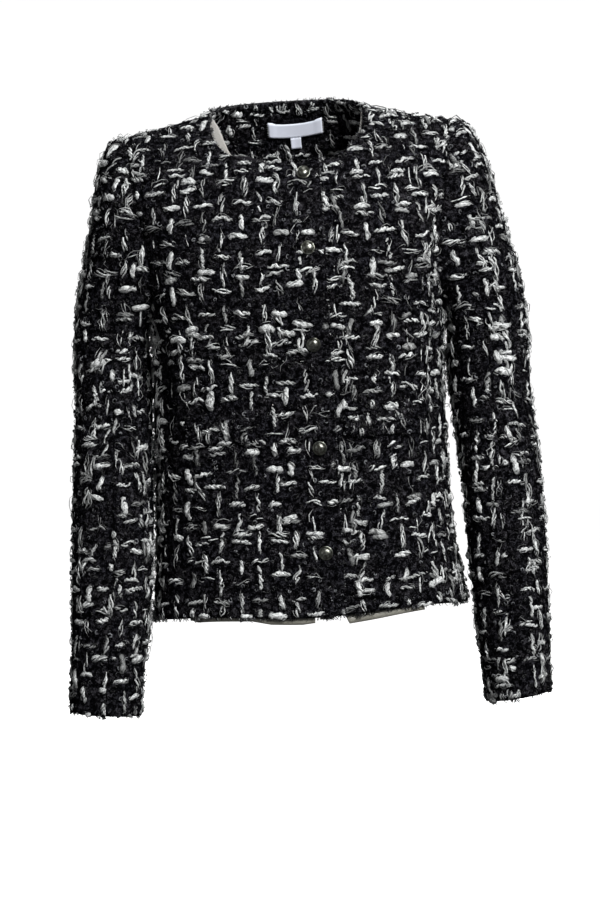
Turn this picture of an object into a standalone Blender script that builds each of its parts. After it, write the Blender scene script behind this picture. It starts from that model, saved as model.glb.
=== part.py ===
import bpy
import math
import numpy as np

for old in list(bpy.data.objects):
    bpy.data.objects.remove(old, do_unlink=True)

# ---------------------------------------------------------------- sizes (metres)
WALL = 0.0026            # tweed with its backing
FACING_WALL = 0.0012     # facing and hem satin
RIBBON_WALL = 0.0009     # neck strips, label and tab
GAP = 0.0003             # clear gap at every seam
LAP_OVER = 0.0300        # edge of the wearer's right front, which lies on top
LAP_UNDER = 0.0015       # edge of the wearer's left front, underneath
UNDERLAP_STEP = 0.0010   # extra air between the two lapped fronts
ARMHOLE_FRONT = 32.0     # how far the armhole cuts into the front, degrees round the body
ARMHOLE_BACK = 28.0
LABEL_SIZE = (0.057, 0.0145)
TAB_SIZE = (0.011, 0.012)
WELT_SIZE = (0.072, 0.0258)
WELT_WALL = 0.0022
WELT_END_X = (-0.1165, 0.1070)   # outer end of the welt on the wearer's right and left
WELT_TOP_Z = -0.3120
SNAP_RADIUS = 0.0070
SNAP_HEIGHT = 0.0046
SNAP_X = 0.0135
SNAP_Z = (-0.0740, -0.1500, -0.2450, -0.3465, -0.4495)

# rings of the body, from the neck edge to the hem
# level, half width, front depth, back depth, z side, z front, z back, squareness, droop power, centre x
BODY_RINGS = np.array([
    (0.0, 0.0780, 0.080, 0.058, 0.000, -0.0615, 0.0170, 3.0, 1.10, 0.000),
    (1.0, 0.1020, 0.089, 0.072, -0.006, -0.0830, -0.0050, 2.65, 1.25, 0.000),
    (2.0, 0.1320, 0.097, 0.087, -0.0125, -0.1090, -0.0330, 2.35, 1.40, 0.000),
    (3.0, 0.1640, 0.104, 0.101, -0.0195, -0.1390, -0.0700, 2.20, 1.50, 0.000),
    (4.0, 0.1740, 0.109, 0.110, -0.054, -0.1700, -0.1160, 2.25, 1.50, 0.000),
    (5.0, 0.1630, 0.111, 0.114, -0.134, -0.2010, -0.1700, 2.40, 1.50, 0.000),
    (6.0, 0.1500, 0.108, 0.110, -0.210, -0.2340, -0.2240, 2.50, 1.50, 0.000),
    (7.0, 0.1475, 0.104, 0.103, -0.270, -0.2760, -0.2740, 2.50, 1.50, -0.0025),
    (8.0, 0.1478, 0.101, 0.096, -0.335, -0.3350, -0.3350, 2.50, 1.50, -0.0045),
    (9.0, 0.1503, 0.102, 0.098, -0.425, -0.4240, -0.4250, 2.50, 1.50, -0.0058),
    (10.0, 0.1602, 0.107, 0.106, -0.5095, -0.5055, -0.5090, 2.50, 1.50, -0.0042),
])
NECK, TIP, ARMPIT, HEM = 0.0, 3.0, 6.0, 10.0

# soft drape folds on the body: degrees round, level from, level to, half width in degrees, depth (out is +)
BODY_FOLDS = (
    (-27.0, 5.2, 8.8, 6.5, -0.0042),
    (-41.0, 4.6, 8.2, 7.0, 0.0030),
    (-153.0, 5.2, 8.8, 6.5, -0.0042),
    (-139.0, 4.6, 8.2, 7.0, 0.0030),
    (28.0, 5.0, 8.6, 7.0, -0.0036),
    (152.0, 5.0, 8.6, 7.0, -0.0036),
    (-66.0, 8.6, 11.5, 9.0, 0.0020),
    (-112.0, 8.4, 11.5, 8.0, 0.0018),
    (-12.0, 8.8, 11.5, 8.0, -0.0022),
    (60.0, 8.2, 11.5, 10.0, 0.0024),
    (95.0, 8.2, 11.5, 9.0, -0.0018),
    (128.0, 8.4, 11.5, 9.0, 0.0022),
)

# rings of each sleeve: z, axis x (outward), axis y, half width, half depth
SLEEVE_RIGHT = np.array([
    (-0.2560, 0.1903, 0.001, 0.0385, 0.0550),
    (-0.3000, 0.1925, -0.006, 0.0392, 0.0540),
    (-0.3450, 0.1945, -0.017, 0.0404, 0.0525),
    (-0.4000, 0.1976, -0.030, 0.0411, 0.0500),
    (-0.4600, 0.2015, -0.042, 0.0404, 0.0475),
    (-0.5200, 0.2060, -0.053, 0.0380, 0.0450),
    (-0.5600, 0.2098, -0.060, 0.0362, 0.0435),
    (-0.5930, 0.2120, -0.064, 0.0360, 0.0425),
])
SLEEVE_LEFT = np.array([
    (-0.2560, 0.1918, 0.000, 0.0427, 0.0550),
    (-0.3000, 0.1925, -0.003, 0.0432, 0.0540),
    (-0.3450, 0.1952, -0.008, 0.0432, 0.0525),
    (-0.4000, 0.1975, -0.018, 0.0420, 0.0500),
    (-0.4600, 0.1978, -0.026, 0.0414, 0.0475),
    (-0.5200, 0.1982, -0.032, 0.0387, 0.0450),
    (-0.5700, 0.1990, -0.037, 0.0355, 0.0430),
    (-0.6060, 0.1998, -0.040, 0.0340, 0.0420),
])
SLEEVE_SQUARE = 2.15
BICEPS_TILT = 0.008
# the way the sleeve leaves the armhole: degrees round from the crown, then x, y, z
CAP_LEAVE = np.array([
    (0.0, 1.00, 0.00, 0.26),
    (45.0, 1.00, -0.10, 0.05),
    (90.0, 1.00, -0.14, -0.06),
    (140.0, 0.82, -0.06, -0.56),
    (180.0, 0.60, 0.00, -0.80),
    (220.0, 0.82, 0.06, -0.56),
    (270.0, 1.00, 0.14, -0.06),
    (315.0, 1.00, 0.10, 0.05),
    (360.0, 1.00, 0.00, 0.26),
])
# soft folds on a sleeve: degrees round from the outer side, z, half width in degrees, half height, depth, slant
SLEEVE_FOLDS = (
    (70.0, -0.315, 55.0, 0.012, -0.0028, 0.010),
    (110.0, -0.345, 50.0, 0.011, -0.0030, -0.006),
    (85.0, -0.385, 55.0, 0.012, -0.0024, 0.012),
    (60.0, -0.440, 45.0, 0.014, -0.0018, -0.010),
    (250.0, -0.330, 45.0, 0.013, -0.0024, 0.010),
    (20.0, -0.150, 40.0, 0.016, -0.0014, 0.004),
)

SHOULDER_ROWS = 5
ARMHOLE_ROWS = 10
SIDE_ROWS = 10
FRONT_COLUMNS = 10
BACK_COLUMNS = 18
CAP_ROWS = 7
SLEEVE_ROWS = (-0.2800, -0.3050, -0.3300, -0.3550, -0.3850, -0.4250, -0.4750, -0.5250, -0.5650)

collection = bpy.data.collections.new("cropped_tweed_jacket")
bpy.context.scene.collection.children.link(collection)


# ---------------------------------------------------------------- tables and small tools
def table(rows, column, at):
    """Value of one column of a table at any level: a smooth curve through the rows, straight beyond its ends."""
    x = rows[:, 0]
    y = rows[:, column]
    step = np.diff(x)
    slope = np.diff(y) / step
    tangent = np.zeros(len(x))
    for i in range(1, len(x) - 1):
        if slope[i - 1] * slope[i] > 0:
            w0 = 2 * step[i] + step[i - 1]
            w1 = step[i] + 2 * step[i - 1]
            tangent[i] = (w0 + w1) / (w0 / slope[i - 1] + w1 / slope[i])
    tangent[0] = slope[0]
    tangent[-1] = slope[-1]
    at = np.asarray(at, float)
    sign = 1.0 if x[-1] > x[0] else -1.0
    i = np.clip(np.searchsorted(sign * x, sign * at, side="right") - 1, 0, len(x) - 2)
    h = step[i]
    t = (at - x[i]) / h
    inside = np.clip(t, 0.0, 1.0)
    t2 = inside * inside
    t3 = t2 * inside
    value = ((2 * t3 - 3 * t2 + 1) * y[i] + (t3 - 2 * t2 + inside) * h * tangent[i]
             + (-2 * t3 + 3 * t2) * y[i + 1] + (t3 - t2) * h * tangent[i + 1])
    beyond = (t - inside) * h
    return value + beyond * np.where(t > 1.0, tangent[-1], tangent[0])


def unit(v):
    return v / np.maximum(np.linalg.norm(v, axis=-1, keepdims=True), 1e-12)


def smooth(t):
    t = np.clip(t, 0.0, 1.0)
    return t * t * (3.0 - 2.0 * t)


def bump(t):
    """One soft hump, 1 in the middle and 0 from -1 and +1 on."""
    t = np.clip(np.abs(t), 0.0, 1.0)
    return (1.0 - t * t) ** 2


# ---------------------------------------------------------------- body surface
def body_bare(theta, level):
    """Point on the body: a superellipse ring, its depth and height eased from the side to the front or the back."""
    theta = np.asarray(theta, float)
    level = np.asarray(level, float)
    half, front, back, z_side, z_front, z_back, square, droop, centre = [
        table(BODY_RINGS, k, level) for k in range(1, 10)]
    c = np.cos(theta)
    s = np.sin(theta)
    ex = 2.0 / square
    x = centre + half * np.sign(c) * np.abs(c) ** ex
    q = np.abs(s) ** ex
    y = np.where(s < 0, -front * q, back * q)
    z = z_side + np.where(s < 0, z_front - z_side, z_back - z_side) * q ** droop
    return np.stack([x, y, z], -1)


def body_normal(theta, level, source=body_bare):
    e = 0.012
    across = source(theta + e, level) - source(theta - e, level)
    down = source(theta, level + e) - source(theta, level - e)
    return unit(np.cross(down, across))


def body(theta, level):
    """The bare body moved out or in by the drape folds, each a soft hump round the body faded in along the level."""
    theta, level = np.broadcast_arrays(np.asarray(theta, float), np.asarray(level, float))
    degrees = np.degrees(theta)
    move = np.zeros(theta.shape)
    for around, top, bottom, width, depth in BODY_FOLDS:
        off = (degrees - around + 180.0) % 360.0 - 180.0
        fade = bump((level - 0.5 * (top + bottom)) / (0.5 * (bottom - top)))
        move = move + depth * bump(off / (1.6 * width)) * fade
    return body_bare(theta, level) + body_normal(theta, level) * move[..., None]


def body_out(theta, level):
    return body_normal(theta, level, body)


def theta_at_x(level, x, front=True):
    """Angle on a ring where its x is the one asked for."""
    half = table(BODY_RINGS, 1, level)
    ex = 2.0 / table(BODY_RINGS, 7, level)
    x = x - table(BODY_RINGS, 9, level)
    c = np.sign(x) * (np.abs(x) / half) ** (1.0 / ex)
    a = np.arccos(np.clip(c, -1, 1))
    return -a if front else a


def level_at_z(x, z):
    levels = np.linspace(0.0, 10.6, 400)
    zs = body(theta_at_x(levels, x), levels)[:, 2]
    return float(np.interp(-z, -zs, levels))


def armhole_angle(level, reach):
    w = np.clip((np.asarray(level, float) - TIP) / (ARMPIT - TIP), 0.0, 1.0)
    return np.radians(reach) * np.sqrt(np.maximum(4.0 * w * (1.0 - w), 0.0))


shoulder_levels = np.linspace(NECK, TIP, SHOULDER_ROWS + 1)
armhole_levels = TIP + (ARMPIT - TIP) * 0.5 * (1.0 - np.cos(np.pi * np.arange(ARMHOLE_ROWS + 1) / ARMHOLE_ROWS))
side_levels = ARMPIT + (HEM - ARMPIT) * np.linspace(0.0, 1.0, SIDE_ROWS + 1)
ROWS = np.concatenate([shoulder_levels, armhole_levels[1:], side_levels[1:]])
ROW_TIP = SHOULDER_ROWS
ROW_ARMPIT = SHOULDER_ROWS + ARMHOLE_ROWS


# ---------------------------------------------------------------- armhole seam, shared by the body and the sleeve
def armhole_frames(reach, sign):
    """Along one half of the armhole, tip to armpit: point, body normal, way into the hole, sleeve normal, mitre."""
    theta = sign * armhole_angle(armhole_levels, reach)
    point = body(theta, armhole_levels)
    normal = body_out(theta, armhole_levels)
    tangent = np.zeros_like(point)
    tangent[1:-1] = point[2:] - point[:-2]
    tangent[0] = np.array([0.0, sign * 1.0, 0.0])
    tangent[-1] = np.array([0.0, -sign * 1.0, 0.0])
    tangent = unit(tangent)
    into = unit(np.cross(tangent, normal)) * sign
    return point, normal, tangent, into


front_point, front_normal, front_tangent, front_into = armhole_frames(ARMHOLE_FRONT, -1.0)
back_point, back_normal, back_tangent, back_into = armhole_frames(ARMHOLE_BACK, 1.0)
share = np.arange(ARMHOLE_ROWS + 1) / ARMHOLE_ROWS
PSI_FRONT = 180.0 * share ** 0.892
PSI_BACK = 360.0 - 180.0 * share ** 0.965


def seam_side(point, normal, tangent, into, psi):
    """The slanted rim of the wall at the armhole, and the way across the seam, from the body to the sleeve."""
    way = np.stack([np.interp(psi, CAP_LEAVE[:, 0], CAP_LEAVE[:, k]) for k in (1, 2, 3)], -1)
    way = way - tangent * np.sum(way * tangent, -1, keepdims=True)
    turn = np.arctan2(np.sum(way * normal, -1), np.sum(way * into, -1))[:, None]
    leave = np.cos(turn) * into + np.sin(turn) * normal
    sleeve_normal = np.cos(turn) * normal - np.sin(turn) * into
    half_turn = normal + sleeve_normal
    size = np.linalg.norm(half_turn, axis=-1, keepdims=True)
    length = np.minimum(1.0 / np.maximum(0.5 * size, 1e-6), 2.3)
    rim = -unit(half_turn) * length
    over = unit(np.cross(rim, tangent))
    over = over * np.sign(np.sum(over * leave, -1, keepdims=True))
    return leave, sleeve_normal, rim, over


front_seam = seam_side(front_point, front_normal, front_tangent, front_into, PSI_FRONT)
back_seam = seam_side(back_point, back_normal, back_tangent, back_into, PSI_BACK)


# ---------------------------------------------------------------- meshes
def add_object(name, verts, faces, color, rough=0.9, metal=0.0):
    verts = np.asarray(verts, float)
    mesh = bpy.data.meshes.new(name)
    mesh.from_pydata([tuple(v) for v in verts], [], [tuple(int(i) for i in f) for f in faces])
    volume = 0.0
    for f in faces:
        a = verts[f[0]]
        for i in range(1, len(f) - 1):
            volume += float(np.dot(a, np.cross(verts[f[i]], verts[f[i + 1]])))
    if volume < 0:
        mesh.flip_normals()
    mesh.update()
    obj = bpy.data.objects.new(name, mesh)
    collection.objects.link(obj)
    mat = bpy.data.materials.new(name + "_mat")
    mat.use_nodes = True
    shader = mat.node_tree.nodes["Principled BSDF"]
    shader.inputs["Base Color"].default_value = (color[0], color[1], color[2], 1.0)
    shader.inputs["Roughness"].default_value = rough
    shader.inputs["Metallic"].default_value = metal
    mat.diffuse_color = (color[0], color[1], color[2], 1.0)
    mesh.materials.append(mat)
    return obj


def short_cut(grid):
    """Which cells of a grid are cut into triangles along their other diagonal, because it is the shorter one."""
    one = np.linalg.norm(grid[:-1, :-1] - grid[1:, 1:], axis=-1)
    other = np.linalg.norm(grid[:-1, 1:] - grid[1:, :-1], axis=-1)
    return other < one - 1e-7


def wall(name, outer, inner, color, rough=0.9):
    """A closed sheet from two equal grids of points, its rim closed all round."""
    cut = short_cut(outer)
    rows, cols = outer.shape[:2]
    verts = np.concatenate([outer.reshape(-1, 3), inner.reshape(-1, 3)])
    n = rows * cols
    faces = []
    for i in range(rows - 1):
        for j in range(cols - 1):
            a = i * cols + j
            b, c, d = a + 1, a + cols + 1, a + cols
            pair = [(a, b, d), (b, c, d)] if cut[i, j] else [(a, b, c), (a, c, d)]
            faces += pair + [(n + t[0], n + t[2], n + t[1]) for t in pair]
    edge = ([j for j in range(cols)] + [i * cols + cols - 1 for i in range(1, rows)]
            + [(rows - 1) * cols + j for j in range(cols - 2, -1, -1)] + [i * cols for i in range(rows - 2, 0, -1)])
    for k in range(len(edge)):
        a = edge[k]
        b = edge[(k + 1) % len(edge)]
        faces.append((b, a, n + a, n + b))
    return add_object(name, verts, faces, color, rough)


def even_angles(level, left, right, count, source=body):
    """Angles that part a stretch of one ring into equal lengths."""
    t = np.linspace(0.0, 1.0, 161)
    fine = left + (right - left) * t
    p = source(fine, np.full(161, level))
    run = np.concatenate([[0.0], np.cumsum(np.linalg.norm(np.diff(p, axis=0), axis=-1))])
    return np.interp(np.linspace(0.0, run[-1], count + 1), run, fine)


def at(grid, i, j, cut):
    """Point on the flat triangles of a grid at any place in it, and straight on past its edge."""
    i = np.asarray(i, float)
    j = np.asarray(j, float)
    a = np.clip(np.floor(i).astype(int), 0, grid.shape[0] - 2)
    b = np.clip(np.floor(j).astype(int), 0, grid.shape[1] - 2)
    u = (i - a)[..., None]
    v = (j - b)[..., None]
    p00, p01, p10, p11 = grid[a, b], grid[a, b + 1], grid[a + 1, b], grid[a + 1, b + 1]
    right = p00 + v * (p01 - p00) + u * (p11 - p01)
    left = p00 + u * (p10 - p00) + v * (p11 - p10)
    other = np.where(u + v < 1.0, p00 + v * (p01 - p00) + u * (p10 - p00),
                     p11 + (1 - v) * (p10 - p11) + (1 - u) * (p01 - p11))
    return np.where(cut[a, b][..., None], other, np.where(v > u, right, left))


def grid_normals(outer, inner):
    return unit(outer - inner)


def mirror(p):
    return p * np.array([-1.0, 1.0, 1.0])


TWEED = (0.020, 0.020, 0.023)
TWEED_2 = (0.030, 0.030, 0.034)
TWEED_3 = (0.014, 0.014, 0.016)
CREAM = (0.62, 0.57, 0.48)
SATIN = (0.090, 0.088, 0.076)
BAND = (0.045, 0.043, 0.048)


# ---------------------------------------------------------------- rows of a panel
# At the armhole edge the rows follow the seam; away from it they ease into even steps.
EVEN_ROWS = np.concatenate([shoulder_levels, np.linspace(TIP, ARMPIT, ARMHOLE_ROWS + 1)[1:], side_levels[1:]])


def panel_rows(edge):
    """Levels of a panel: 0 at edge gives the even rows, 1 the rows of the armhole seam."""
    return EVEN_ROWS[:, None] + (ROWS - EVEN_ROWS)[:, None] * edge[None] ** 2


# ---------------------------------------------------------------- fronts
def front_grids(lap, under):
    """Outer and inner points of the front on the +x side, from its lapped edge to the side.

    The front that lies underneath is set back under the other one along the lap.
    """
    start = theta_at_x(8.0, lap)
    base = even_angles(8.0, start, 0.0, FRONT_COLUMNS)
    edge = (base - start) / -start
    theta = (theta_at_x(ROWS, lap)[:, None] * (1.0 - edge)
             - armhole_angle(ROWS, ARMHOLE_FRONT)[:, None] * edge ** 1.5)
    level = panel_rows(edge)
    outer = body(theta, level)
    normal = body_out(theta, level)
    rim = -normal.copy()
    for k in range(ARMHOLE_ROWS + 1):
        rim[ROW_TIP + k, -1] = front_seam[2][k]
        outer[ROW_TIP + k, -1] -= front_seam[3][k] * GAP * 0.5
    seam_rows = [i for i in range(len(ROWS)) if i <= ROW_TIP or i >= ROW_ARMPIT]
    for i in seam_rows:
        outer[i, -1] += np.array([0.0, -1.0, 0.0]) * GAP * 0.5
    if under:
        back_off = (WALL + UNDERLAP_STEP) * (1.0 - smooth((outer[..., 0] - (LAP_OVER + 0.003)) / 0.034))
        outer = outer - normal * back_off[..., None]
    return outer, outer + rim * WALL


def mirrored_front(lap):
    """The front on the -x side: the same sheet with the body's sideways lean turned over with it."""
    BODY_RINGS[:, 9] *= -1.0
    outer, inner = front_grids(lap, False)
    BODY_RINGS[:, 9] *= -1.0
    return mirror(outer), mirror(inner)


right_outer, right_inner = mirrored_front(-LAP_OVER)
left_outer, left_inner = front_grids(LAP_UNDER, True)
wall("front_right", right_outer, right_inner, TWEED)
wall("front_left", left_outer, left_inner, TWEED_2)


# ---------------------------------------------------------------- back
def back_grids():
    base = even_angles(8.0, 0.0, math.pi, BACK_COLUMNS)
    edge = (0.5 * math.pi - base) / (0.5 * math.pi)
    theta = base + np.sign(edge) * np.abs(edge) ** 1.5 * armhole_angle(ROWS, ARMHOLE_BACK)[:, None]
    level = panel_rows(np.abs(edge))
    outer = body(theta, level)
    rim = -body_out(theta, level)
    for k in range(ARMHOLE_ROWS + 1):
        rim[ROW_TIP + k, 0] = back_seam[2][k]
        outer[ROW_TIP + k, 0] -= back_seam[3][k] * GAP * 0.5
        rim[ROW_TIP + k, -1] = mirror(back_seam[2][k])
        outer[ROW_TIP + k, -1] -= mirror(back_seam[3][k]) * GAP * 0.5
    for i in range(len(ROWS)):
        if i <= ROW_TIP or i >= ROW_ARMPIT:
            outer[i, 0] += np.array([0.0, 1.0, 0.0]) * GAP * 0.5
            outer[i, -1] += np.array([0.0, 1.0, 0.0]) * GAP * 0.5
    return outer, outer + rim * WALL


back_outer, back_inner = back_grids()
wall("back", back_outer, back_inner, TWEED_3)


# ---------------------------------------------------------------- sleeves
def sleeve_ring(psi, z, rings):
    """Point on a sleeve ring: a nearly round superellipse about the leaning axis, 0 degrees on the outer side."""
    key = rings.copy()
    key[:, 0] = -key[:, 0]
    xc, yc, hw, hd = [table(key, k, -z) for k in (1, 2, 3, 4)]
    a = np.radians(psi)
    c = np.cos(a)
    s = np.sin(a)
    ex = 2.0 / SLEEVE_SQUARE
    x = xc + hw * np.sign(c) * np.abs(c) ** ex
    y = yc - hd * np.sign(s) * np.abs(s) ** ex
    return np.stack([x, y, z + 0.0 * x], -1)


def sleeve_grid(rings):
    """Columns from the armhole seam down to the cuff: an eased curve over the cap, then rings along the arm."""
    point = np.concatenate([front_point, back_point[-2:0:-1]])
    normal = np.concatenate([front_normal, back_normal[-2:0:-1]])
    psi = np.concatenate([PSI_FRONT, PSI_BACK[-2:0:-1]])
    leave = np.concatenate([front_seam[0], back_seam[0][-2:0:-1]])
    rim = np.concatenate([front_seam[2], back_seam[2][-2:0:-1]])
    over = np.concatenate([front_seam[3], back_seam[3][-2:0:-1]])
    start = point + over * GAP * 0.5
    z_ring = rings[0, 0] + BICEPS_TILT * np.cos(np.radians(psi))
    ring = sleeve_ring(psi, z_ring, rings)
    below = sleeve_ring(psi, z_ring - 0.004, rings)
    down = unit(below - ring)
    reach = np.linalg.norm(ring - start, axis=-1, keepdims=True)
    crown = np.cos(np.radians(psi) * 0.5)[:, None] ** 2
    first = reach * (0.30 - 0.14 * crown)
    last = reach * (0.34 + 0.20 * crown)
    t = np.linspace(0.0, 1.0, CAP_ROWS + 1)[:, None, None]
    cap = ((1 - t) ** 3 * start + 3 * (1 - t) ** 2 * t * (start + leave * first)
           + 3 * (1 - t) * t ** 2 * (ring - down * last) + t ** 3 * ring)
    rows = [cap[k] for k in range(CAP_ROWS + 1)]
    for z in SLEEVE_ROWS + (rings[-1, 0],):
        rows.append(sleeve_ring(psi, np.full(psi.shape, z), rings))
    outer = np.array(rows)
    # folds
    across = np.roll(outer, -1, 1) - np.roll(outer, 1, 1)
    along = np.gradient(outer, axis=0)
    out = unit(np.cross(across, along))
    axis = np.mean(outer, axis=1, keepdims=True)
    out = out * np.sign(np.sum(out * (outer - axis), -1, keepdims=True))
    move = np.zeros(outer.shape[:2])
    for around, z, width, height, depth, slant in SLEEVE_FOLDS:
        off = (psi[None, :] - around + 180.0) % 360.0 - 180.0
        move += depth * bump(off / width) * bump((outer[..., 2] - z - slant * off / width) / (1.8 * height))
    move[0] = 0.0
    outer = outer + out * move[..., None]
    across = np.roll(outer, -1, 1) - np.roll(outer, 1, 1)
    along = np.gradient(outer, axis=0)
    out2 = unit(np.cross(across, along))
    out2 = out2 * np.sign(np.sum(out2 * out, -1, keepdims=True))
    inward = -out2
    inward[0] = rim
    inner = outer + inward * WALL
    return outer, inner


FRONT_SPLIT = 5
BACK_SPLIT = 14


def sleeve(side, rings, flip):
    outer, inner = sleeve_grid(rings)
    count = outer.shape[1]
    across = unit(np.roll(outer, -1, 1) - np.roll(outer, 1, 1))

    def strip(indices):
        o = outer[:, indices].copy()
        i = inner[:, indices].copy()
        for edge, sign in ((0, 1.0), (-1, -1.0)):
            shift = across[:, indices[edge]] * sign * GAP * 0.5
            o[:, edge] += shift
            i[:, edge] += shift
        return (mirror(o), mirror(i)) if flip else (o, i)

    upper = strip([k % count for k in range(BACK_SPLIT, count + FRONT_SPLIT + 1)])
    under = strip(list(range(FRONT_SPLIT, BACK_SPLIT + 1)))
    wall("sleeve_upper_" + side, upper[0], upper[1], TWEED_2 if flip else TWEED)
    wall("sleeve_under_" + side, under[0], under[1], TWEED_3)


sleeve("right", SLEEVE_RIGHT, True)
sleeve("left", SLEEVE_LEFT, False)


# ---------------------------------------------------------------- what lies on a panel
def layer(name, outer, inner, rows, cols, lift, thick, color, inside, rough=0.6):
    """A thin strip laid on one side of a panel at the places asked for, a clear gap away from it."""
    cut = short_cut(outer)
    face = inner if inside else outer
    normal = grid_normals(outer, inner) * (-1.0 if inside else 1.0)
    base = at(face, rows, cols, cut)
    n = unit(at(normal, np.clip(rows, 0, face.shape[0] - 1), np.clip(cols, 0, face.shape[1] - 1), cut))
    near = base + n * lift
    far = near + n * thick
    return wall(name, far, near, color, rough), near, far


# back neck facing: from the neck edge down, between the shoulder seams
facing_rows = np.array([0.0, 1.0, 2.0, 3.0, 4.0])
facing_cols = np.arange(1, BACK_COLUMNS)
fr, fc = np.meshgrid(facing_rows, facing_cols, indexing="ij")
_, facing_near, facing_far = layer("neck_facing_back", back_outer, back_inner, fr, fc.astype(float),
                                   GAP, FACING_WALL, TWEED_2, True, 0.9)


def on_facing(name, centre_x, top_z, width, height, color, lift, columns):
    """A small plate on the inside of the back neck facing, found by x and z on the facing's own points."""
    grid = facing_far
    fine_i = np.linspace(0.0, grid.shape[0] - 1.0, 121)
    fine_j = np.linspace(0.0, grid.shape[1] - 1.0, 241)
    gi, gj = np.meshgrid(fine_i, fine_j, indexing="ij")
    cut = short_cut(grid)
    p = at(grid, gi, gj, cut)
    xs = centre_x + width * np.linspace(-0.5, 0.5, columns + 1)
    rows = []
    for k in range(3):
        z = top_z - height * k / 2.0
        line = []
        for x in xs:
            d = (p[..., 0] - x) ** 2 + (p[..., 2] - z) ** 2
            m = np.unravel_index(np.argmin(d), d.shape)
            line.append((gi[m], gj[m]))
        rows.append(line)
    ij = np.array(rows)
    near_grid = at(grid, ij[..., 0], ij[..., 1], cut)
    n = unit(at(unit(facing_far - facing_near), ij[..., 0], ij[..., 1], cut))
    near = near_grid + n * lift
    far = near + n * RIBBON_WALL
    return wall(name, far, near, color, 0.7)


on_facing("label", 0.009, -0.0105, LABEL_SIZE[0], LABEL_SIZE[1], (0.80, 0.82, 0.86), 0.0006, 8)
on_facing("size_tab", 0.009, -0.0270, TAB_SIZE[0], TAB_SIZE[1], (0.80, 0.82, 0.86), 0.0006, 2)


# neck strips: from inside the neck edge out past it, the free edge cutting straight across the curve
def neck_strip(name, outer, inner, sign, angle_from, angle_to, peek, color, columns, steps=None):
    cols_all = np.arange(outer.shape[1])
    neck = outer[0]
    # angle of every neck point, measured as in the body chart
    a = np.degrees(np.array([math.atan2(-neck[j, 1] / 0.080, sign * neck[j, 0] / 0.078) for j in cols_all]))
    order = np.argsort(a)
    want = np.linspace(angle_from, angle_to, columns + 1)
    cols = np.interp(want, a[order], cols_all[order].astype(float))
    cut = short_cut(outer)
    n = unit(at(grid_normals(outer, inner), np.zeros(len(cols)), cols, cut))
    deep = at(inner, np.full(len(cols), 0.85), cols, cut) - n * GAP
    edge = at(inner, np.full(len(cols), 0.10), cols, cut) - n * GAP
    rise = unit(at(inner, np.zeros(len(cols)), cols, cut) - at(inner, np.full(len(cols), 0.5), cols, cut))
    free = edge + rise * (0.0015 + np.asarray(peek, float)[:, None])
    near = np.array([deep, edge, free])
    far = near - n[None] * RIBBON_WALL
    return wall(name, near, far, color, 0.7)


def ramp(columns, points):
    pts = np.array(points)
    return np.interp(np.linspace(0.0, 1.0, columns + 1), pts[:, 0], pts[:, 1])


neck_strip("neck_strip_right", right_outer, right_inner, -1.0, 8.0, 44.0,
           ramp(8, ((0, 0.0010), (0.3, 0.0060), (0.6, 0.0075), (1, 0.0010))), CREAM, 8)
neck_strip("neck_strip_left", left_outer, left_inner, 1.0, 8.0, 38.0,
           ramp(6, ((0, 0.0010), (0.4, 0.0030), (1, 0.0018))), CREAM, 6)
neck_strip("neck_band_right", right_outer, right_inner, -1.0, 45.5, 80.0,
           ramp(8, ((0, 0.0035), (0.3, 0.0068), (0.7, 0.0040), (1, 0.0005))), BAND, 8)
neck_strip("neck_band_left", left_outer, left_inner, 1.0, 39.5, 78.0,
           ramp(8, ((0, 0.0040), (0.4, 0.0045), (1, 0.0005))), BAND, 8)


# hem satin: from inside the hem down past the raw tweed edge
def hem_strip(name, outer, inner, sign, x_from, x_to, drop, columns):
    last = outer.shape[0] - 1
    xs = np.linspace(x_from, x_to, columns + 1)
    hem_x = sign * inner[-1, :, 0]
    order = np.argsort(hem_x)
    cols = np.interp(xs, hem_x[order], np.arange(outer.shape[1])[order].astype(float))
    pitch = np.linalg.norm(inner[-1] - inner[-2], axis=-1).mean()
    fall = np.asarray(drop, float) / pitch
    rows = np.array([np.full(len(cols), last - 0.62), np.full(len(cols), last - 0.05), last + fall])
    grid_cols = np.repeat(cols[None], 3, 0)
    return layer(name, outer, inner, rows, grid_cols, GAP, FACING_WALL, SATIN, True, 0.4)


hem_strip("hem_satin_right", right_outer, right_inner, -1.0, 0.0005, 0.124,
          ramp(12, ((0, 0.0040), (0.50, 0.0032), (0.62, 0.0045), (0.94, 0.0045), (1, 0.0015))), 12)
hem_strip("hem_satin_left", left_outer, left_inner, 1.0, 0.0040, 0.108,
          ramp(16, ((0, 0.0020), (0.10, 0.0020), (0.13, -0.0008), (0.26, -0.0008), (0.30, 0.0062), (0.6, 0.0055), (1, 0.0042))), 16)


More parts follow.
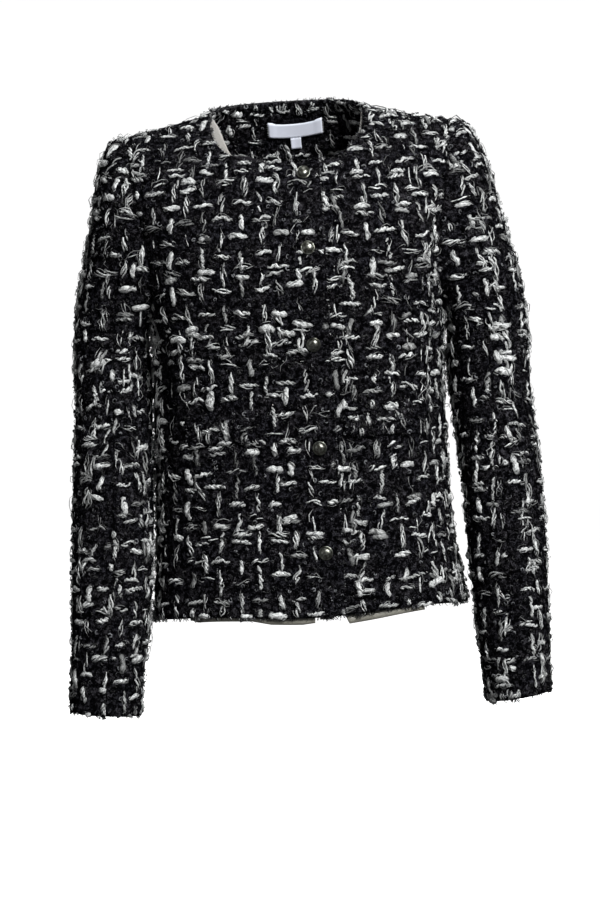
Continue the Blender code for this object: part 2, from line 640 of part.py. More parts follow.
# pocket welts: laid on each front at the waist
def welt(name, outer, inner, sign, end_x):
    rows_z = np.arange(outer.shape[0]).astype(float)
    z_line = outer[:, -3, 2]
    order = np.argsort(z_line)
    top = float(np.interp(WELT_TOP_Z, z_line[order], rows_z[order]))
    low = float(np.interp(WELT_TOP_Z - WELT_SIZE[1], z_line[order], rows_z[order]))
    row_list = np.unique(np.round(np.concatenate([[top, low], np.arange(math.ceil(top + 0.12), math.floor(low - 0.12) + 1)]), 4))
    mid = 0.5 * (top + low)
    cols_fine = np.linspace(0, outer.shape[1] - 1.0, 600)
    line = at(outer, np.full(600, mid), cols_fine, short_cut(outer))
    end = float(np.interp(sign * end_x, sign * line[:, 0], cols_fine))
    run = np.concatenate([[0.0], np.cumsum(np.linalg.norm(np.diff(line, axis=0), axis=-1))])
    run_end = float(np.interp(end, cols_fine, run))
    start = float(np.interp(run_end - WELT_SIZE[0], run, cols_fine))
    col_list = np.unique(np.round(np.concatenate([[start, end], np.arange(math.ceil(start + 0.12), math.floor(end - 0.12) + 1)]), 4))
    rows, cols = np.meshgrid(row_list, col_list, indexing="ij")
    return layer(name, outer, inner, rows, cols, GAP + 0.0002, WELT_WALL, TWEED_2, False, 0.9)


welt("pocket_welt_right", right_outer, right_inner, -1.0, WELT_END_X[0])
welt("pocket_welt_left", left_outer, left_inner, 1.0, WELT_END_X[1])


# ---------------------------------------------------------------- snaps
# radius and height over the base, as shares of the cap's radius and height
SNAP_PROFILE = ((0.86, 0.00), (0.98, 0.10), (1.00, 0.20), (0.93, 0.30), (0.88, 0.46), (0.70, 0.78), (0.40, 0.95))


def snap(name, z):
    """A domed cap with a small rolled rim, turned about the wall's own way out on the closing line."""
    level = np.array([level_at_z(SNAP_X, z)])
    theta = theta_at_x(level, SNAP_X)
    spot = body(theta, level)[0]
    n = body_out(theta, level)[0]
    side = unit(np.cross(np.array([0.0, 0.0, 1.0]), n))
    up = np.cross(n, side)
    base = spot + n * (GAP + 0.0002)
    around = 20
    verts = [base]
    for radius, height in SNAP_PROFILE:
        for k in range(around):
            a = 2 * math.pi * k / around
            verts.append(base + (side * math.cos(a) + up * math.sin(a)) * radius * SNAP_RADIUS + n * height * SNAP_HEIGHT)
    verts.append(base + n * SNAP_HEIGHT)
    faces = []
    for k in range(around):
        m = (k + 1) % around
        faces.append((0, 1 + m, 1 + k))
        for r in range(len(SNAP_PROFILE) - 1):
            a = 1 + r * around
            faces.append((a + k, a + m, a + around + m, a + around + k))
        a = 1 + (len(SNAP_PROFILE) - 1) * around
        faces.append((a + k, a + m, len(verts) - 1))
    return add_object(name, verts, faces, (0.30, 0.29, 0.25), 0.25, 1.0)


for k, z in enumerate(SNAP_Z):
    snap("snap_%d" % (k + 1), z)
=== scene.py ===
import bpy
import numpy as np
from mathutils import Matrix


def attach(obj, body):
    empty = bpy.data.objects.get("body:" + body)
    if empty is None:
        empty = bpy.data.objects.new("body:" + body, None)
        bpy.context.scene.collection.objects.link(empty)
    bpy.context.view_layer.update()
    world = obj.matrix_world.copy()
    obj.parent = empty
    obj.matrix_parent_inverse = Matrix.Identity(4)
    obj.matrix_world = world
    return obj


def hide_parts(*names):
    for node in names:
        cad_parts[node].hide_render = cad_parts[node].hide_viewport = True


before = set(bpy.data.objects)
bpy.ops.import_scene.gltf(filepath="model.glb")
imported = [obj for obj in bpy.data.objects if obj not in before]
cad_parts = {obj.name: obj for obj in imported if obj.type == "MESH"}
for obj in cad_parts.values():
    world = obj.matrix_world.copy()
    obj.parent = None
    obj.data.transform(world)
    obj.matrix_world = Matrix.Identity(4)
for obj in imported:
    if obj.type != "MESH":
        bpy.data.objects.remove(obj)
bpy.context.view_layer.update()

# ------------------------------------------------------------------ back
# The back is one piece of boucle tweed, cut without a centre seam, from the neck over the shoulder blades to
# a raw hem. It is 0.42 m wide and 0.56 m long as cut, backed with a thin black satin lining, and its edges
# meet the fronts at the shoulder and side seams and the sleeves at the armholes.
BACK_COLUMNS = 96
WALL = 0.0026
SEAM_GAP = 0.0003
HALF_GAP = 0.5 * SEAM_GAP
ARMHOLE_BACK = 28.0
KNOT_LIFT, KNOT_LOW, KNOT_SHIFT = 0.0011, 0.0002, 0.22
# level, half width, front depth, back depth, z side, z front, z back, squareness, droop power, centre x
BODY_RINGS = np.array([
    (0.0, 0.0780, 0.080, 0.058, 0.000, -0.0615, 0.0170, 3.0, 1.10, 0.000),
    (1.0, 0.1020, 0.089, 0.072, -0.006, -0.0830, -0.0050, 2.65, 1.25, 0.000),
    (2.0, 0.1320, 0.097, 0.087, -0.0125, -0.1090, -0.0330, 2.35, 1.40, 0.000),
    (3.0, 0.1640, 0.104, 0.101, -0.0195, -0.1390, -0.0700, 2.20, 1.50, 0.000),
    (4.0, 0.1740, 0.109, 0.110, -0.054, -0.1700, -0.1160, 2.25, 1.50, 0.000),
    (5.0, 0.1630, 0.111, 0.114, -0.134, -0.2010, -0.1700, 2.40, 1.50, 0.000),
    (6.0, 0.1500, 0.108, 0.110, -0.210, -0.2340, -0.2240, 2.50, 1.50, 0.000),
    (7.0, 0.1475, 0.104, 0.103, -0.270, -0.2760, -0.2740, 2.50, 1.50, -0.0025),
    (8.0, 0.1478, 0.101, 0.096, -0.335, -0.3350, -0.3350, 2.50, 1.50, -0.0045),
    (9.0, 0.1503, 0.102, 0.098, -0.425, -0.4240, -0.4250, 2.50, 1.50, -0.0058),
    (10.0, 0.1602, 0.107, 0.106, -0.5095, -0.5055, -0.5090, 2.50, 1.50, -0.0042),
])
HALF_WIDTH, FRONT_DEPTH, SQUARENESS, CENTRE = 1, 2, 7, 9
NECK, TIP, ARMPIT, WAIST, HEM = 0.0, 3.0, 6.0, 8.0, 10.0
# creases of the body: degrees round, level from, level to, half width in degrees, depth (out is +)
BODY_CREASES = (
    (-27.0, 5.2, 8.8, 6.5, -0.0042),
    (-41.0, 4.6, 8.2, 7.0, 0.0030),
    (-153.0, 5.2, 8.8, 6.5, -0.0042),
    (-139.0, 4.6, 8.2, 7.0, 0.0030),
    (28.0, 5.0, 8.6, 7.0, -0.0036),
    (152.0, 5.0, 8.6, 7.0, -0.0036),
    (-66.0, 8.6, 11.5, 9.0, 0.0020),
    (-112.0, 8.4, 11.5, 8.0, 0.0018),
    (-12.0, 8.8, 11.5, 8.0, -0.0022),
    (60.0, 8.2, 11.5, 10.0, 0.0024),
    (95.0, 8.2, 11.5, 9.0, -0.0018),
    (128.0, 8.4, 11.5, 9.0, 0.0022),
)


def curve(rows, column, at_level):
    """One column of a table at any level: a cubic between rows whose slope at a row is the harmonic mean of
    its neighbours' slopes, or flat at a turn, and straight on past both ends."""
    x, y = rows[:, 0], rows[:, column]
    step = np.diff(x)
    slope = np.diff(y) / step
    w0 = 2 * step[1:] + step[:-1]
    w1 = step[1:] + 2 * step[:-1]
    turns = slope[:-1] * slope[1:] <= 0
    mean = (w0 + w1) / (w0 / np.where(turns, 1.0, slope[:-1]) + w1 / np.where(turns, 1.0, slope[1:]))
    tangent = np.concatenate([slope[:1], np.where(turns, 0.0, mean), slope[-1:]])
    at_level = np.asarray(at_level, float)
    i = np.clip(np.searchsorted(x, at_level, side="right") - 1, 0, len(x) - 2)
    h = step[i]
    t = (at_level - x[i]) / h
    u = np.clip(t, 0.0, 1.0)
    value = ((2 * u ** 3 - 3 * u ** 2 + 1) * y[i] + (u ** 3 - 2 * u ** 2 + u) * h * tangent[i]
             + (3 * u ** 2 - 2 * u ** 3) * y[i + 1] + (u ** 3 - u ** 2) * h * tangent[i + 1])
    return value + (t - u) * h * np.where(t > 1.0, tangent[-1], tangent[0])


def unit(v):
    """Each vector over its length."""
    return v / np.maximum(np.linalg.norm(v, axis=-1, keepdims=True), 1e-12)


def dot(a, b):
    """Sum of the products of two vectors' parts, as a column."""
    return np.sum(a * b, -1, keepdims=True)


def hump(t):
    """(1 - t^2)^2 between -1 and 1, and 0 outside."""
    t = np.clip(np.abs(t), 0.0, 1.0)
    return (1.0 - t * t) ** 2


def ramp(t):
    """3 t^2 - 2 t^3 between 0 and 1, held outside."""
    t = np.clip(t, 0.0, 1.0)
    return t * t * (3.0 - 2.0 * t)


def run_along(points):
    """Length along a line of points, from its first one."""
    return np.concatenate([[0.0], np.cumsum(np.linalg.norm(np.diff(points, axis=0), axis=-1))])


def body_bare(angle, level):
    """x = centre + a |cos|^(2/n), y = -front q or +back q and z = side + (middle - side) q^p, with
    q = |sin|^(2/n)."""
    half, front, back, z_side, z_front, z_back, square, droop, centre = [
        curve(BODY_RINGS, k, level) for k in range(1, 10)]
    c = np.cos(angle)
    s = np.sin(angle)
    x = centre + half * np.sign(c) * np.abs(c) ** (2.0 / square)
    q = np.abs(s) ** (2.0 / square)
    y = np.where(s < 0, -front * q, back * q)
    z = z_side + np.where(s < 0, z_front - z_side, z_back - z_side) * q ** droop
    return np.stack([x, y, z], -1)


def normal_of(surface, angle, level, near=0.012):
    """Cross product of the two central differences of a surface, taken near to each point."""
    across = surface(angle + near, level) - surface(angle - near, level)
    down = surface(angle, level + near) - surface(angle, level - near)
    return unit(np.cross(down, across))


def body(angle, level):
    """The bare body moved along its normal by creases, each a hump round the body times a hump down it."""
    angle, level = np.broadcast_arrays(np.asarray(angle, float), np.asarray(level, float))
    move = np.zeros(angle.shape)
    for around, top, bottom, width, depth in BODY_CREASES:
        off = (np.degrees(angle) - around + 180.0) % 360.0 - 180.0
        move = move + depth * hump(off / (1.6 * width)) * hump((2.0 * level - top - bottom) / (bottom - top))
    return body_bare(angle, level) + normal_of(body_bare, angle, level) * move[..., None]


def even_angles(left, right, count):
    """Angles that part a stretch of the waist's ring into equal lengths."""
    fine = np.linspace(left, right, 801)
    run = run_along(body(fine, np.full(801, WAIST)))
    return np.interp(np.linspace(0.0, run[-1], count + 1), run, fine)


# rows of a panel: along the shoulder, down the armhole (closer at both ends), down the side
SHOULDER_ROWS, ARMHOLE_ROWS, SIDE_ROWS = 22, 46, 76
hole_share = np.arange(ARMHOLE_ROWS + 1) / ARMHOLE_ROWS
hole_levels = TIP + (ARMPIT - TIP) * 0.5 * (1.0 - np.cos(np.pi * hole_share))
above = np.linspace(NECK, TIP, SHOULDER_ROWS + 1)[:-1]
below = np.linspace(ARMPIT, HEM, SIDE_ROWS + 1)[1:]
SEAM_ROWS = np.concatenate([above, hole_levels, below])
EVEN_ROWS = np.concatenate([above, TIP + (ARMPIT - TIP) * hole_share, below])
HOLE = slice(SHOULDER_ROWS, SHOULDER_ROWS + ARMHOLE_ROWS + 1)
# degrees round the armhole from the crown at its rows, on the front's side and on the back's
PSI_FRONT = 180.0 * hole_share ** 0.892
PSI_BACK = 360.0 - 180.0 * hole_share ** 0.965
# the way the sleeve leaves the armhole: degrees round from the crown, then x, y, z
CAP_LEAVE = np.array([
    (0.0, 1.00, 0.00, 0.26),
    (45.0, 1.00, -0.10, 0.05),
    (90.0, 1.00, -0.14, -0.06),
    (140.0, 0.82, -0.06, -0.56),
    (180.0, 0.60, 0.00, -0.80),
    (220.0, 0.82, 0.06, -0.56),
    (270.0, 1.00, 0.14, -0.06),
    (315.0, 1.00, 0.10, 0.05),
    (360.0, 1.00, 0.00, 0.26),
])
LONGEST_RIM = 2.3


def armhole_angle(level, reach):
    """reach sqrt(4 w (1 - w)) with w from 0 at the shoulder tip to 1 at the armpit."""
    w = np.clip((level - TIP) / (ARMPIT - TIP), 0.0, 1.0)
    return np.radians(reach) * np.sqrt(np.maximum(4.0 * w * (1.0 - w), 0.0))


def armhole_seam(reach, side, psi):
    """Along half an armhole: its points, the sleeve's first direction, the slanted rim that halves the angle
    between the two walls, and the direction across the seam towards the sleeve."""
    angle = side * armhole_angle(hole_levels, reach)
    point = body(angle, hole_levels)
    normal = normal_of(body, angle, hole_levels)
    tangent = np.zeros_like(point)
    tangent[1:-1] = point[2:] - point[:-2]
    tangent[0, 1] = side
    tangent[-1, 1] = -side
    tangent = unit(tangent)
    into = unit(np.cross(tangent, normal)) * side
    way = np.stack([np.interp(psi, CAP_LEAVE[:, 0], CAP_LEAVE[:, k]) for k in (1, 2, 3)], -1)
    way = way - tangent * dot(way, tangent)
    turn = np.arctan2(dot(way, normal), dot(way, into))
    leave = np.cos(turn) * into + np.sin(turn) * normal
    between = normal + (np.cos(turn) * normal - np.sin(turn) * into)
    length = 2.0 / np.maximum(np.linalg.norm(between, axis=-1, keepdims=True), 1e-6)
    rim = -unit(between) * np.minimum(length, LONGEST_RIM)
    over = unit(np.cross(rim, tangent))
    return {"point": point, "leave": leave, "rim": rim, "over": over * np.sign(dot(over, leave))}


def mirror(p):
    """x becomes -x."""
    return p * np.array([-1.0, 1.0, 1.0])


def seam_column(outer, rim, column, side, seam, turn=lambda p: p):
    """Shapes a panel's edge column: half the seam gap back from shoulder and side seams in y, and across the
    armhole seam, where the rim is slanted too."""
    outer[HOLE, column] -= turn(seam["over"]) * HALF_GAP
    outer[:HOLE.start, column, 1] += side * HALF_GAP
    outer[HOLE.stop:, column, 1] += side * HALF_GAP
    rim[HOLE, column] = turn(seam["rim"])


def back_grids():
    """Rows of levels, columns from the left side seam round to the right one. Near an armhole the rows follow
    its seam, further in they ease with the square of the distance to even steps."""
    base = even_angles(0.0, np.pi, BACK_COLUMNS)
    edge = (0.5 * np.pi - base) / (0.5 * np.pi)
    angle = base + np.sign(edge) * np.abs(edge) ** 1.5 * armhole_angle(SEAM_ROWS, ARMHOLE_BACK)[:, None]
    level = EVEN_ROWS[:, None] + (SEAM_ROWS - EVEN_ROWS)[:, None] * edge[None] ** 2
    outer = body(angle, level)
    rim = -normal_of(body, angle, level)
    seam_column(outer, rim, 0, 1.0, back_seam)
    seam_column(outer, rim, -1, 1.0, back_seam, mirror)
    return outer, outer + rim * WALL


def nearest_field(down, across):
    """The field on a grid whose steps come closest to the wanted ones, down the columns and across the rows,
    by least squares. The sums of squares part into the modes of two chains of points, one each way."""
    wanted = np.zeros((across.shape[0], down.shape[1]))
    wanted[1:] += down
    wanted[:-1] -= down
    wanted[:, 1:] += across
    wanted[:, :-1] -= across
    modes = []
    for count in wanted.shape:
        chain = 2.0 * np.eye(count) - np.eye(count, k=1) - np.eye(count, k=-1)
        chain[0, 0] = chain[-1, -1] = 1.0
        modes.append(np.linalg.eigh(chain))
    (w_down, v_down), (w_across, v_across) = modes
    weight = w_down[:, None] + w_across[None]
    weight[0, 0] = 1.0
    part = v_down.T @ wanted @ v_across / weight
    part[0, 0] = 0.0
    return v_down @ part @ v_across.T


def cloth_run(grid, lean=0.0):
    """Cloth coordinates of a panel in metres on the cut cloth: the fields whose steps come closest to the
    level part (s) and the climbing part (t) of each step of its grid. Up leans sideways by lean near the top
    of a sleeve, whose head turns over there."""
    out = unit(np.cross(np.gradient(grid, axis=0), np.gradient(grid, axis=1)))
    up = np.zeros_like(grid)
    up[..., 2] = 1.0
    up[..., 0] = lean * ramp((grid[..., 2] + 0.100) / 0.070)
    level_way = unit(np.cross(up, out))
    fields = []
    for way in (level_way, np.cross(out, level_way)):
        step_down = np.sum(np.diff(grid, axis=0) * 0.5 * (way[1:] + way[:-1]), -1)
        step_across = np.sum(np.diff(grid, axis=1) * 0.5 * (way[:, 1:] + way[:, :-1]), -1)
        fields.append(nearest_field(step_down, step_across))
    s, t = fields
    return s, t - t[-1].mean()


def add_mesh(name, points, quads, tris, uv_quads, uv_tris, tone=None, second=None):
    """A mesh object from arrays, with UVs by corner, a tone by point and the faces that take the second
    material. Its faces are turned over together when its signed volume is negative."""
    corners = np.concatenate([quads.ravel(), tris.ravel()])
    starts = np.concatenate([np.arange(len(quads)) * 4, len(quads) * 4 + np.arange(len(tris)) * 3])
    a, b, c, d = [points[quads[:, k]] for k in range(4)]
    volume = np.sum(a * (np.cross(b, c) + np.cross(c, d)))
    a, b, c = [points[tris[:, k]] for k in range(3)]
    volume += np.sum(a * np.cross(b, c))
    mesh = bpy.data.meshes.new(name)
    mesh.vertices.add(len(points))
    mesh.vertices.foreach_set("co", points.astype(np.float32).ravel())
    mesh.loops.add(len(corners))
    mesh.loops.foreach_set("vertex_index", corners.astype(np.int32))
    mesh.polygons.add(len(starts))
    mesh.polygons.foreach_set("loop_start", starts.astype(np.int32))
    mesh.update(calc_edges=True)
    uv = np.concatenate([uv_quads.ravel(), uv_tris.ravel()])
    mesh.uv_layers.new(name="cloth_m").data.foreach_set("uv", uv.astype(np.float32))
    if tone is not None:
        mesh.attributes.new("tone", "FLOAT", "POINT").data.foreach_set("value", tone.astype(np.float32))
    if second is not None:
        mesh.polygons.foreach_set("material_index", second.astype(np.int32))
    if volume < 0:
        mesh.flip_normals()
    mesh.shade_smooth()
    mesh.validate()
    piece = bpy.data.objects.new(name, mesh)
    bpy.context.scene.collection.objects.link(piece)
    return piece


def cells(rows, columns, first=0):
    """Corner numbers of the cells of a grid of points, row by row."""
    a = (np.arange(rows - 1)[:, None] * columns + np.arange(columns - 1)[None]).ravel() + first
    return np.stack([a, a + 1, a + columns + 1, a + columns], -1)


def border(rows, columns):
    """Numbers of a grid's outer points, once round."""
    number = np.arange(rows * columns).reshape(rows, columns)
    return np.concatenate([number[0], number[1:, -1], number[-1, -2::-1], number[-2:0:-1, 0]])


def closed_sheet(name, outer, inner, s, t):
    """Closed sheet from two grids with an even number of steps each way: the whole outer grid, every second
    point of the inner one, and a rim of three triangles for each inner step."""
    rows, columns = outer.shape[:2]
    lining = inner[::2, ::2]
    r, c = lining.shape[:2]
    points = np.concatenate([outer.reshape(-1, 3), lining.reshape(-1, 3)])
    first = rows * columns
    quads = np.concatenate([cells(rows, columns), cells(r, c, first)[:, ::-1]])
    fine = border(rows, columns)
    a, mid, b = fine[::2], fine[1::2], np.roll(fine[::2], -1)
    low_a = border(r, c) + first
    low_b = np.roll(low_a, -1)
    tris = np.concatenate([np.stack(x, -1) for x in ((mid, a, low_a), (b, mid, low_b), (mid, low_a, low_b))])
    uv = np.stack([s, t], -1)
    uv = np.concatenate([uv.reshape(-1, 2), uv[::2, ::2].reshape(-1, 2)])
    second = np.zeros(len(quads) + len(tris))
    second[(rows - 1) * (columns - 1):len(quads)] = 1
    return add_mesh(name, points, quads, tris, uv[quads], uv[tris], second=second)


def new_material(name, **values):
    """A material with its shader, whose own sockets hold the given constants."""
    mat = bpy.data.materials.new(name)
    mat.use_nodes = True
    shader = mat.node_tree.nodes["Principled BSDF"]
    feed(shader, {socket.replace("_", " "): value for socket, value in values.items()})
    return mat, shader


def feed(made, sockets):
    """Gives each socket, by name or number, a constant or the output of another node."""
    for socket, value in sockets.items():
        if isinstance(value, bpy.types.NodeSocket):
            made.id_data.links.new(value, made.inputs[socket])
        else:
            made.inputs[socket].default_value = value


def node(mat, kind, sockets, **settings):
    """A shader node with its settings and what its sockets are fed."""
    made = mat.node_tree.nodes.new("ShaderNode" + kind)
    for key, value in settings.items():
        setattr(made, key, value)
    feed(made, sockets)
    return made


def cloth_place(mat):
    """The piece's own UV map: metres on its cloth or along and round its yarn."""
    return node(mat, "UVMap", {}, uv_map="cloth_m").outputs["UV"]


def noise(mat, place, scale, detail=2.0, roughness=0.5, distortion=0.0):
    """Noise of so many cells to a metre, from 0 to 1."""
    values = {"Vector": place, "Scale": scale, "Detail": detail, "Roughness": roughness,
              "Distortion": distortion}
    return node(mat, "TexNoise", values).outputs["Fac"]


def plus_share(mat, value, share, other):
    """value times share plus other."""
    return node(mat, "Math", {0: value, 1: share, 2: other}, operation="MULTIPLY_ADD").outputs[0]


def product(mat, one, other):
    """One colour times another."""
    values = {0: 1.0, 6: one, 7: other}
    return node(mat, "Mix", values, data_type="RGBA", blend_type="MULTIPLY").outputs[2]


def tint(mat, fac, low, high, *between):
    """Colour by a value from 0 to 1: each mark is its place and its red, green and blue."""
    made = node(mat, "ValToRGB", {"Fac": fac})
    marks = made.color_ramp.elements
    marks[0].position, marks[0].color = low[0], (*low[1:], 1)
    marks[1].position, marks[1].color = high[0], (*high[1:], 1)
    for mark in between:
        marks.new(mark[0]).color = (*mark[1:], 1)
    return made.outputs["Color"]


def raise_by(mat, shader, height, strength, distance):
    """Bumps the shader's surface by a height from 0 to 1 times a distance."""
    bump = node(mat, "Bump", {"Height": height, "Strength": strength, "Distance": distance})
    feed(shader, {"Normal": bump.outputs["Normal"]})


def boucle_ground():
    """Black looped wool: noise a loop wide mottles it between two blacks, more of it in some patches 5 mm
    wide than in others, and cells the size of a knot with fine hair between them raise the bump."""
    mat, shader = new_material("boucle_ground", Roughness=0.80, Specular_IOR_Level=0.0)
    place = cloth_place(mat)
    loops = noise(mat, place, 520.0, 4.0, 0.65, 1.4)
    knots = node(mat, "TexVoronoi", {"Vector": place, "Scale": 420.0, "Randomness": 1.0}).outputs["Distance"]
    patchy = plus_share(mat, noise(mat, place, 190.0, 1.0), 0.45, loops)
    black = tint(mat, patchy, (0.74, 0.0011, 0.0011, 0.0013), (0.98, 0.060, 0.060, 0.066))
    cast = tint(mat, noise(mat, place, 38.0), (0.35, 0.70, 0.70, 0.78), (0.65, 1.0, 0.96, 0.98))
    feed(shader, {"Base Color": product(mat, black, cast)})
    raise_by(mat, shader, plus_share(mat, loops, 0.8, knots), 0.9, 0.0012)
    return mat


def satin(name, dark, light, rough, pitch, shine=0.5):
    """Satin lining: fine slanting twill lines between two near colours."""
    mat, shader = new_material(name, Roughness=rough, Specular_IOR_Level=shine)
    values = {"Vector": cloth_place(mat), "Scale": pitch, "Distortion": 0.6, "Detail": 1.0}
    lines = node(mat, "TexWave", values, wave_type="BANDS", bands_direction="DIAGONAL").outputs["Fac"]
    feed(shader, {"Base Color": tint(mat, lines, (0.0, *dark), (1.0, *light))})
    raise_by(mat, shader, lines, 0.25, 0.0002)
    return mat


GROUND = boucle_ground()
LINING = satin("black_lining", (0.010, 0.010, 0.011), (0.022, 0.021, 0.022), 0.45, 900.0)


def dress(piece, slot, *materials, instead_of=None):
    """Gives a piece its materials, fixes it to the jacket's one body, and puts it in the place of a solid.
    Its slot argument is not used."""
    for mat in materials:
        piece.data.materials.append(mat)
    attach(piece, "root")
    if instead_of:
        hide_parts(instead_of)
    return piece


def tweed_cloth(name, panel, seed):
    """The lined cloth of a panel, which is (outer, inner, s, t). Its outer points are yarn knots, lifted by
    up to 1 mm and, inside its edge, shifted sideways by a share of a step."""
    outer, inner, s, t = panel
    random = np.random.default_rng(seed)
    rows, columns = outer.shape[:2]
    lift = KNOT_LIFT * random.random((rows, columns)) ** 1.4 - KNOT_LOW
    across = np.gradient(outer, axis=1) * random.uniform(-KNOT_SHIFT, KNOT_SHIFT, (rows, columns, 1))
    down = np.gradient(outer, axis=0) * random.uniform(-KNOT_SHIFT, KNOT_SHIFT, (rows, columns, 1))
    inside = np.zeros((rows, columns, 1))
    inside[1:-1, 1:-1] = 1.0
    knots = outer + unit(outer - inner) * lift[..., None] + (across + down) * inside
    return dress(closed_sheet(name + "_tweed", knots, inner, s, t), "tweed", GROUND, LINING, instead_of=name)


back_seam = armhole_seam(ARMHOLE_BACK, 1.0, PSI_BACK)
back_outer, back_inner = back_grids()
back = (back_outer, back_inner, *cloth_run(back_outer))
back_cloth = tweed_cloth("back", back, 11)

# ------------------------------------------------------------------ white yarn of the back
# White slub yarns run up and across the black cloth every 18 mm, a third of them in pairs. Where one lies on
# top it shows as a float about 20 mm long and 2 to 6 mm thick: a rope of two plies, a soft fat slub, two or
# three open strands, or one thin thread. Floats up and across take turns, as in a check.
PITCH, PITCH_SWAY = 0.0178, 0.0020
PAIR_APART = (0.0050, 0.0090)
UPRIGHT_PAIRS, LEVEL_PAIRS = 0.30, 0.32
FLOATS_SHOWN, THIN_STRIP_SHOWN = 0.96, 0.25
FLOAT_LENGTH, FAT_LENGTH, UPRIGHT_MORE, SHORTEST = (0.0175, 0.0250), (0.0145, 0.0220), (0.0, 0.0075), 0.005
SHIFT_ALONG, SHIFT_ACROSS = 0.0024, 0.0009
# spread of a float's bow, of its S bend and of its slant, and the upward bow of level ones
BENDS, LEVEL_BOW = (0.0011, 0.0007, 0.09), 0.0009
FLOAT_DIVE, FLOAT_TOP, FLOAT_FLAT = 0.0022, (0.0012, 0.0023), 0.72
FLOAT_POINTS = 11
# one strand of a float: kind, radius from and to, sides, every how many points, distance off the middle line,
# its place round the float, turns, share of floats that have it, tone from and to. A hair is on every kind.
ROPE, FAT, OPEN, THREAD, HAIR = 0, 1, 2, 3, 4
STRANDS = (
    (ROPE, 0.00085, 0.00125, 4, 1, 0.00115, 0.0, 1.8, 1.0, 0.70, 1.0),
    (ROPE, 0.00075, 0.00120, 3, 1, 0.00120, 0.5, 1.8, 1.0, 0.50, 1.0),
    (ROPE, 0.00040, 0.00070, 3, 1, 0.00165, 0.3, 2.4, 0.6, 0.30, 0.9),
    (FAT, 0.00180, 0.00270, 6, 1, 0.0, 0.0, 0.0, 1.0, 0.70, 0.95),
    (FAT, 0.00045, 0.00080, 3, 1, 0.00230, 0.2, 1.2, 0.9, 0.5, 1.0),
    (OPEN, 0.00065, 0.00110, 3, 1, 0.00130, 0.0, 0.9, 1.0, 0.70, 1.0),
    (OPEN, 0.00055, 0.00095, 3, 1, 0.00170, 0.45, 0.7, 1.0, 0.50, 1.0),
    (OPEN, 0.00035, 0.00065, 3, 1, 0.00230, 0.75, 0.5, 0.6, 0.40, 0.95),
    (THREAD, 0.00050, 0.00085, 4, 2, 0.00025, 0.0, 0.5, 1.0, 0.80, 1.0),
    (HAIR, 0.00022, 0.00038, 3, 2, 0.00300, 0.1, 0.5, 0.55, 0.20, 0.8),
    (HAIR, 0.00022, 0.00038, 3, 2, 0.00340, 0.6, 0.7, 0.35, 0.20, 0.8),
)
# a float's kind by a draw from 0 to 1: upright ones are mostly open strands, level ones mostly rope
UPRIGHT_LIMITS, LEVEL_LIMITS = (0.26, 0.42, 0.82), (0.52, 0.76, 0.90)
# a float's girth: the least, then what is its own, its yarn's, and what the whiter parts of the cloth add
GIRTH = (0.90, 0.27, 0.27, 0.14)
# waves to a metre at most; share of faint floats, what blacker parts of the cloth add, and how faint they are
WHITER_WAVES, FAINT_SHARE, FAINT_TONE = 16.0, (0.16, 0.30), (0.30, 0.65)
# finding a place on a panel: a net of every so many rows and columns, then steps of so many rows at most
NET_STEPS, NEWTON_STEPS, LONGEST_STEP, FOUND_WITHIN = (6, 5), 16, 12, 0.0004


def bilinear(field, i, j):
    """Value and both slopes of a grid between its points, straight on past its edges."""
    a = np.clip(np.floor(i).astype(int), 0, field.shape[0] - 2)
    b = np.clip(np.floor(j).astype(int), 0, field.shape[1] - 2)
    u, v = i - a, j - b
    if field.ndim == 3:
        u, v = u[..., None], v[..., None]
    p00, p01, p10, p11 = field[a, b], field[a, b + 1], field[a + 1, b], field[a + 1, b + 1]
    value = p00 * (1 - u) * (1 - v) + p01 * (1 - u) * v + p10 * u * (1 - v) + p11 * u * v
    return value, (p10 - p00) * (1 - v) + (p11 - p01) * v, (p01 - p00) * (1 - u) + (p11 - p10) * u


def at(field, i, j):
    """Value of a grid between its points."""
    return bilinear(field, i, j)[0]


def outward(outer, inner, i, j):
    """The way from the inner grid to the outer one, of length one."""
    return unit(at(unit(outer - inner), i, j))


def find(s_grid, t_grid, s, t):
    """Row and column of places given in cloth metres, by Newton steps from the nearest point of a coarse net,
    and which of them are inside."""
    rows, columns = s_grid.shape
    net_i, net_j = [x.ravel() for x in np.mgrid[0:rows:NET_STEPS[0], 0:columns:NET_STEPS[1]]]
    near = np.argmin((s_grid[net_i, net_j] - s[:, :1]) ** 2 + (t_grid[net_i, net_j] - t[:, :1]) ** 2, 1)
    i = np.repeat(net_i[near][:, None].astype(float), s.shape[1], 1)
    j = np.repeat(net_j[near][:, None].astype(float), s.shape[1], 1)
    for _ in range(NEWTON_STEPS):
        sv, si, sj = bilinear(s_grid, i, j)
        tv, ti, tj = bilinear(t_grid, i, j)
        ds, dt = s - sv, t - tv
        det = si * tj - sj * ti
        det = np.where(np.abs(det) < 1e-10, 1e-10, det)
        i = np.clip(i + np.clip((ds * tj - dt * sj) / det, -LONGEST_STEP, LONGEST_STEP), -1, rows)
        j = np.clip(j + np.clip((dt * si - ds * ti) / det, -LONGEST_STEP, LONGEST_STEP), -1, columns)
    miss = np.hypot(at(s_grid, i, j) - s, at(t_grid, i, j) - t)
    return i, j, (miss < FOUND_WITHIN) & (i >= 0) & (i <= rows - 1) & (j >= 0) & (j <= columns - 1)


def cells_round(rings, sides):
    """Corner numbers of the cells between closed rings of points, ring by ring."""
    here = np.arange(rings * sides).reshape(rings, sides)
    after = np.roll(here, -1, 1)
    return np.stack([here[:-1], after[:-1], after[1:], here[1:]], -1).reshape(-1, 4)


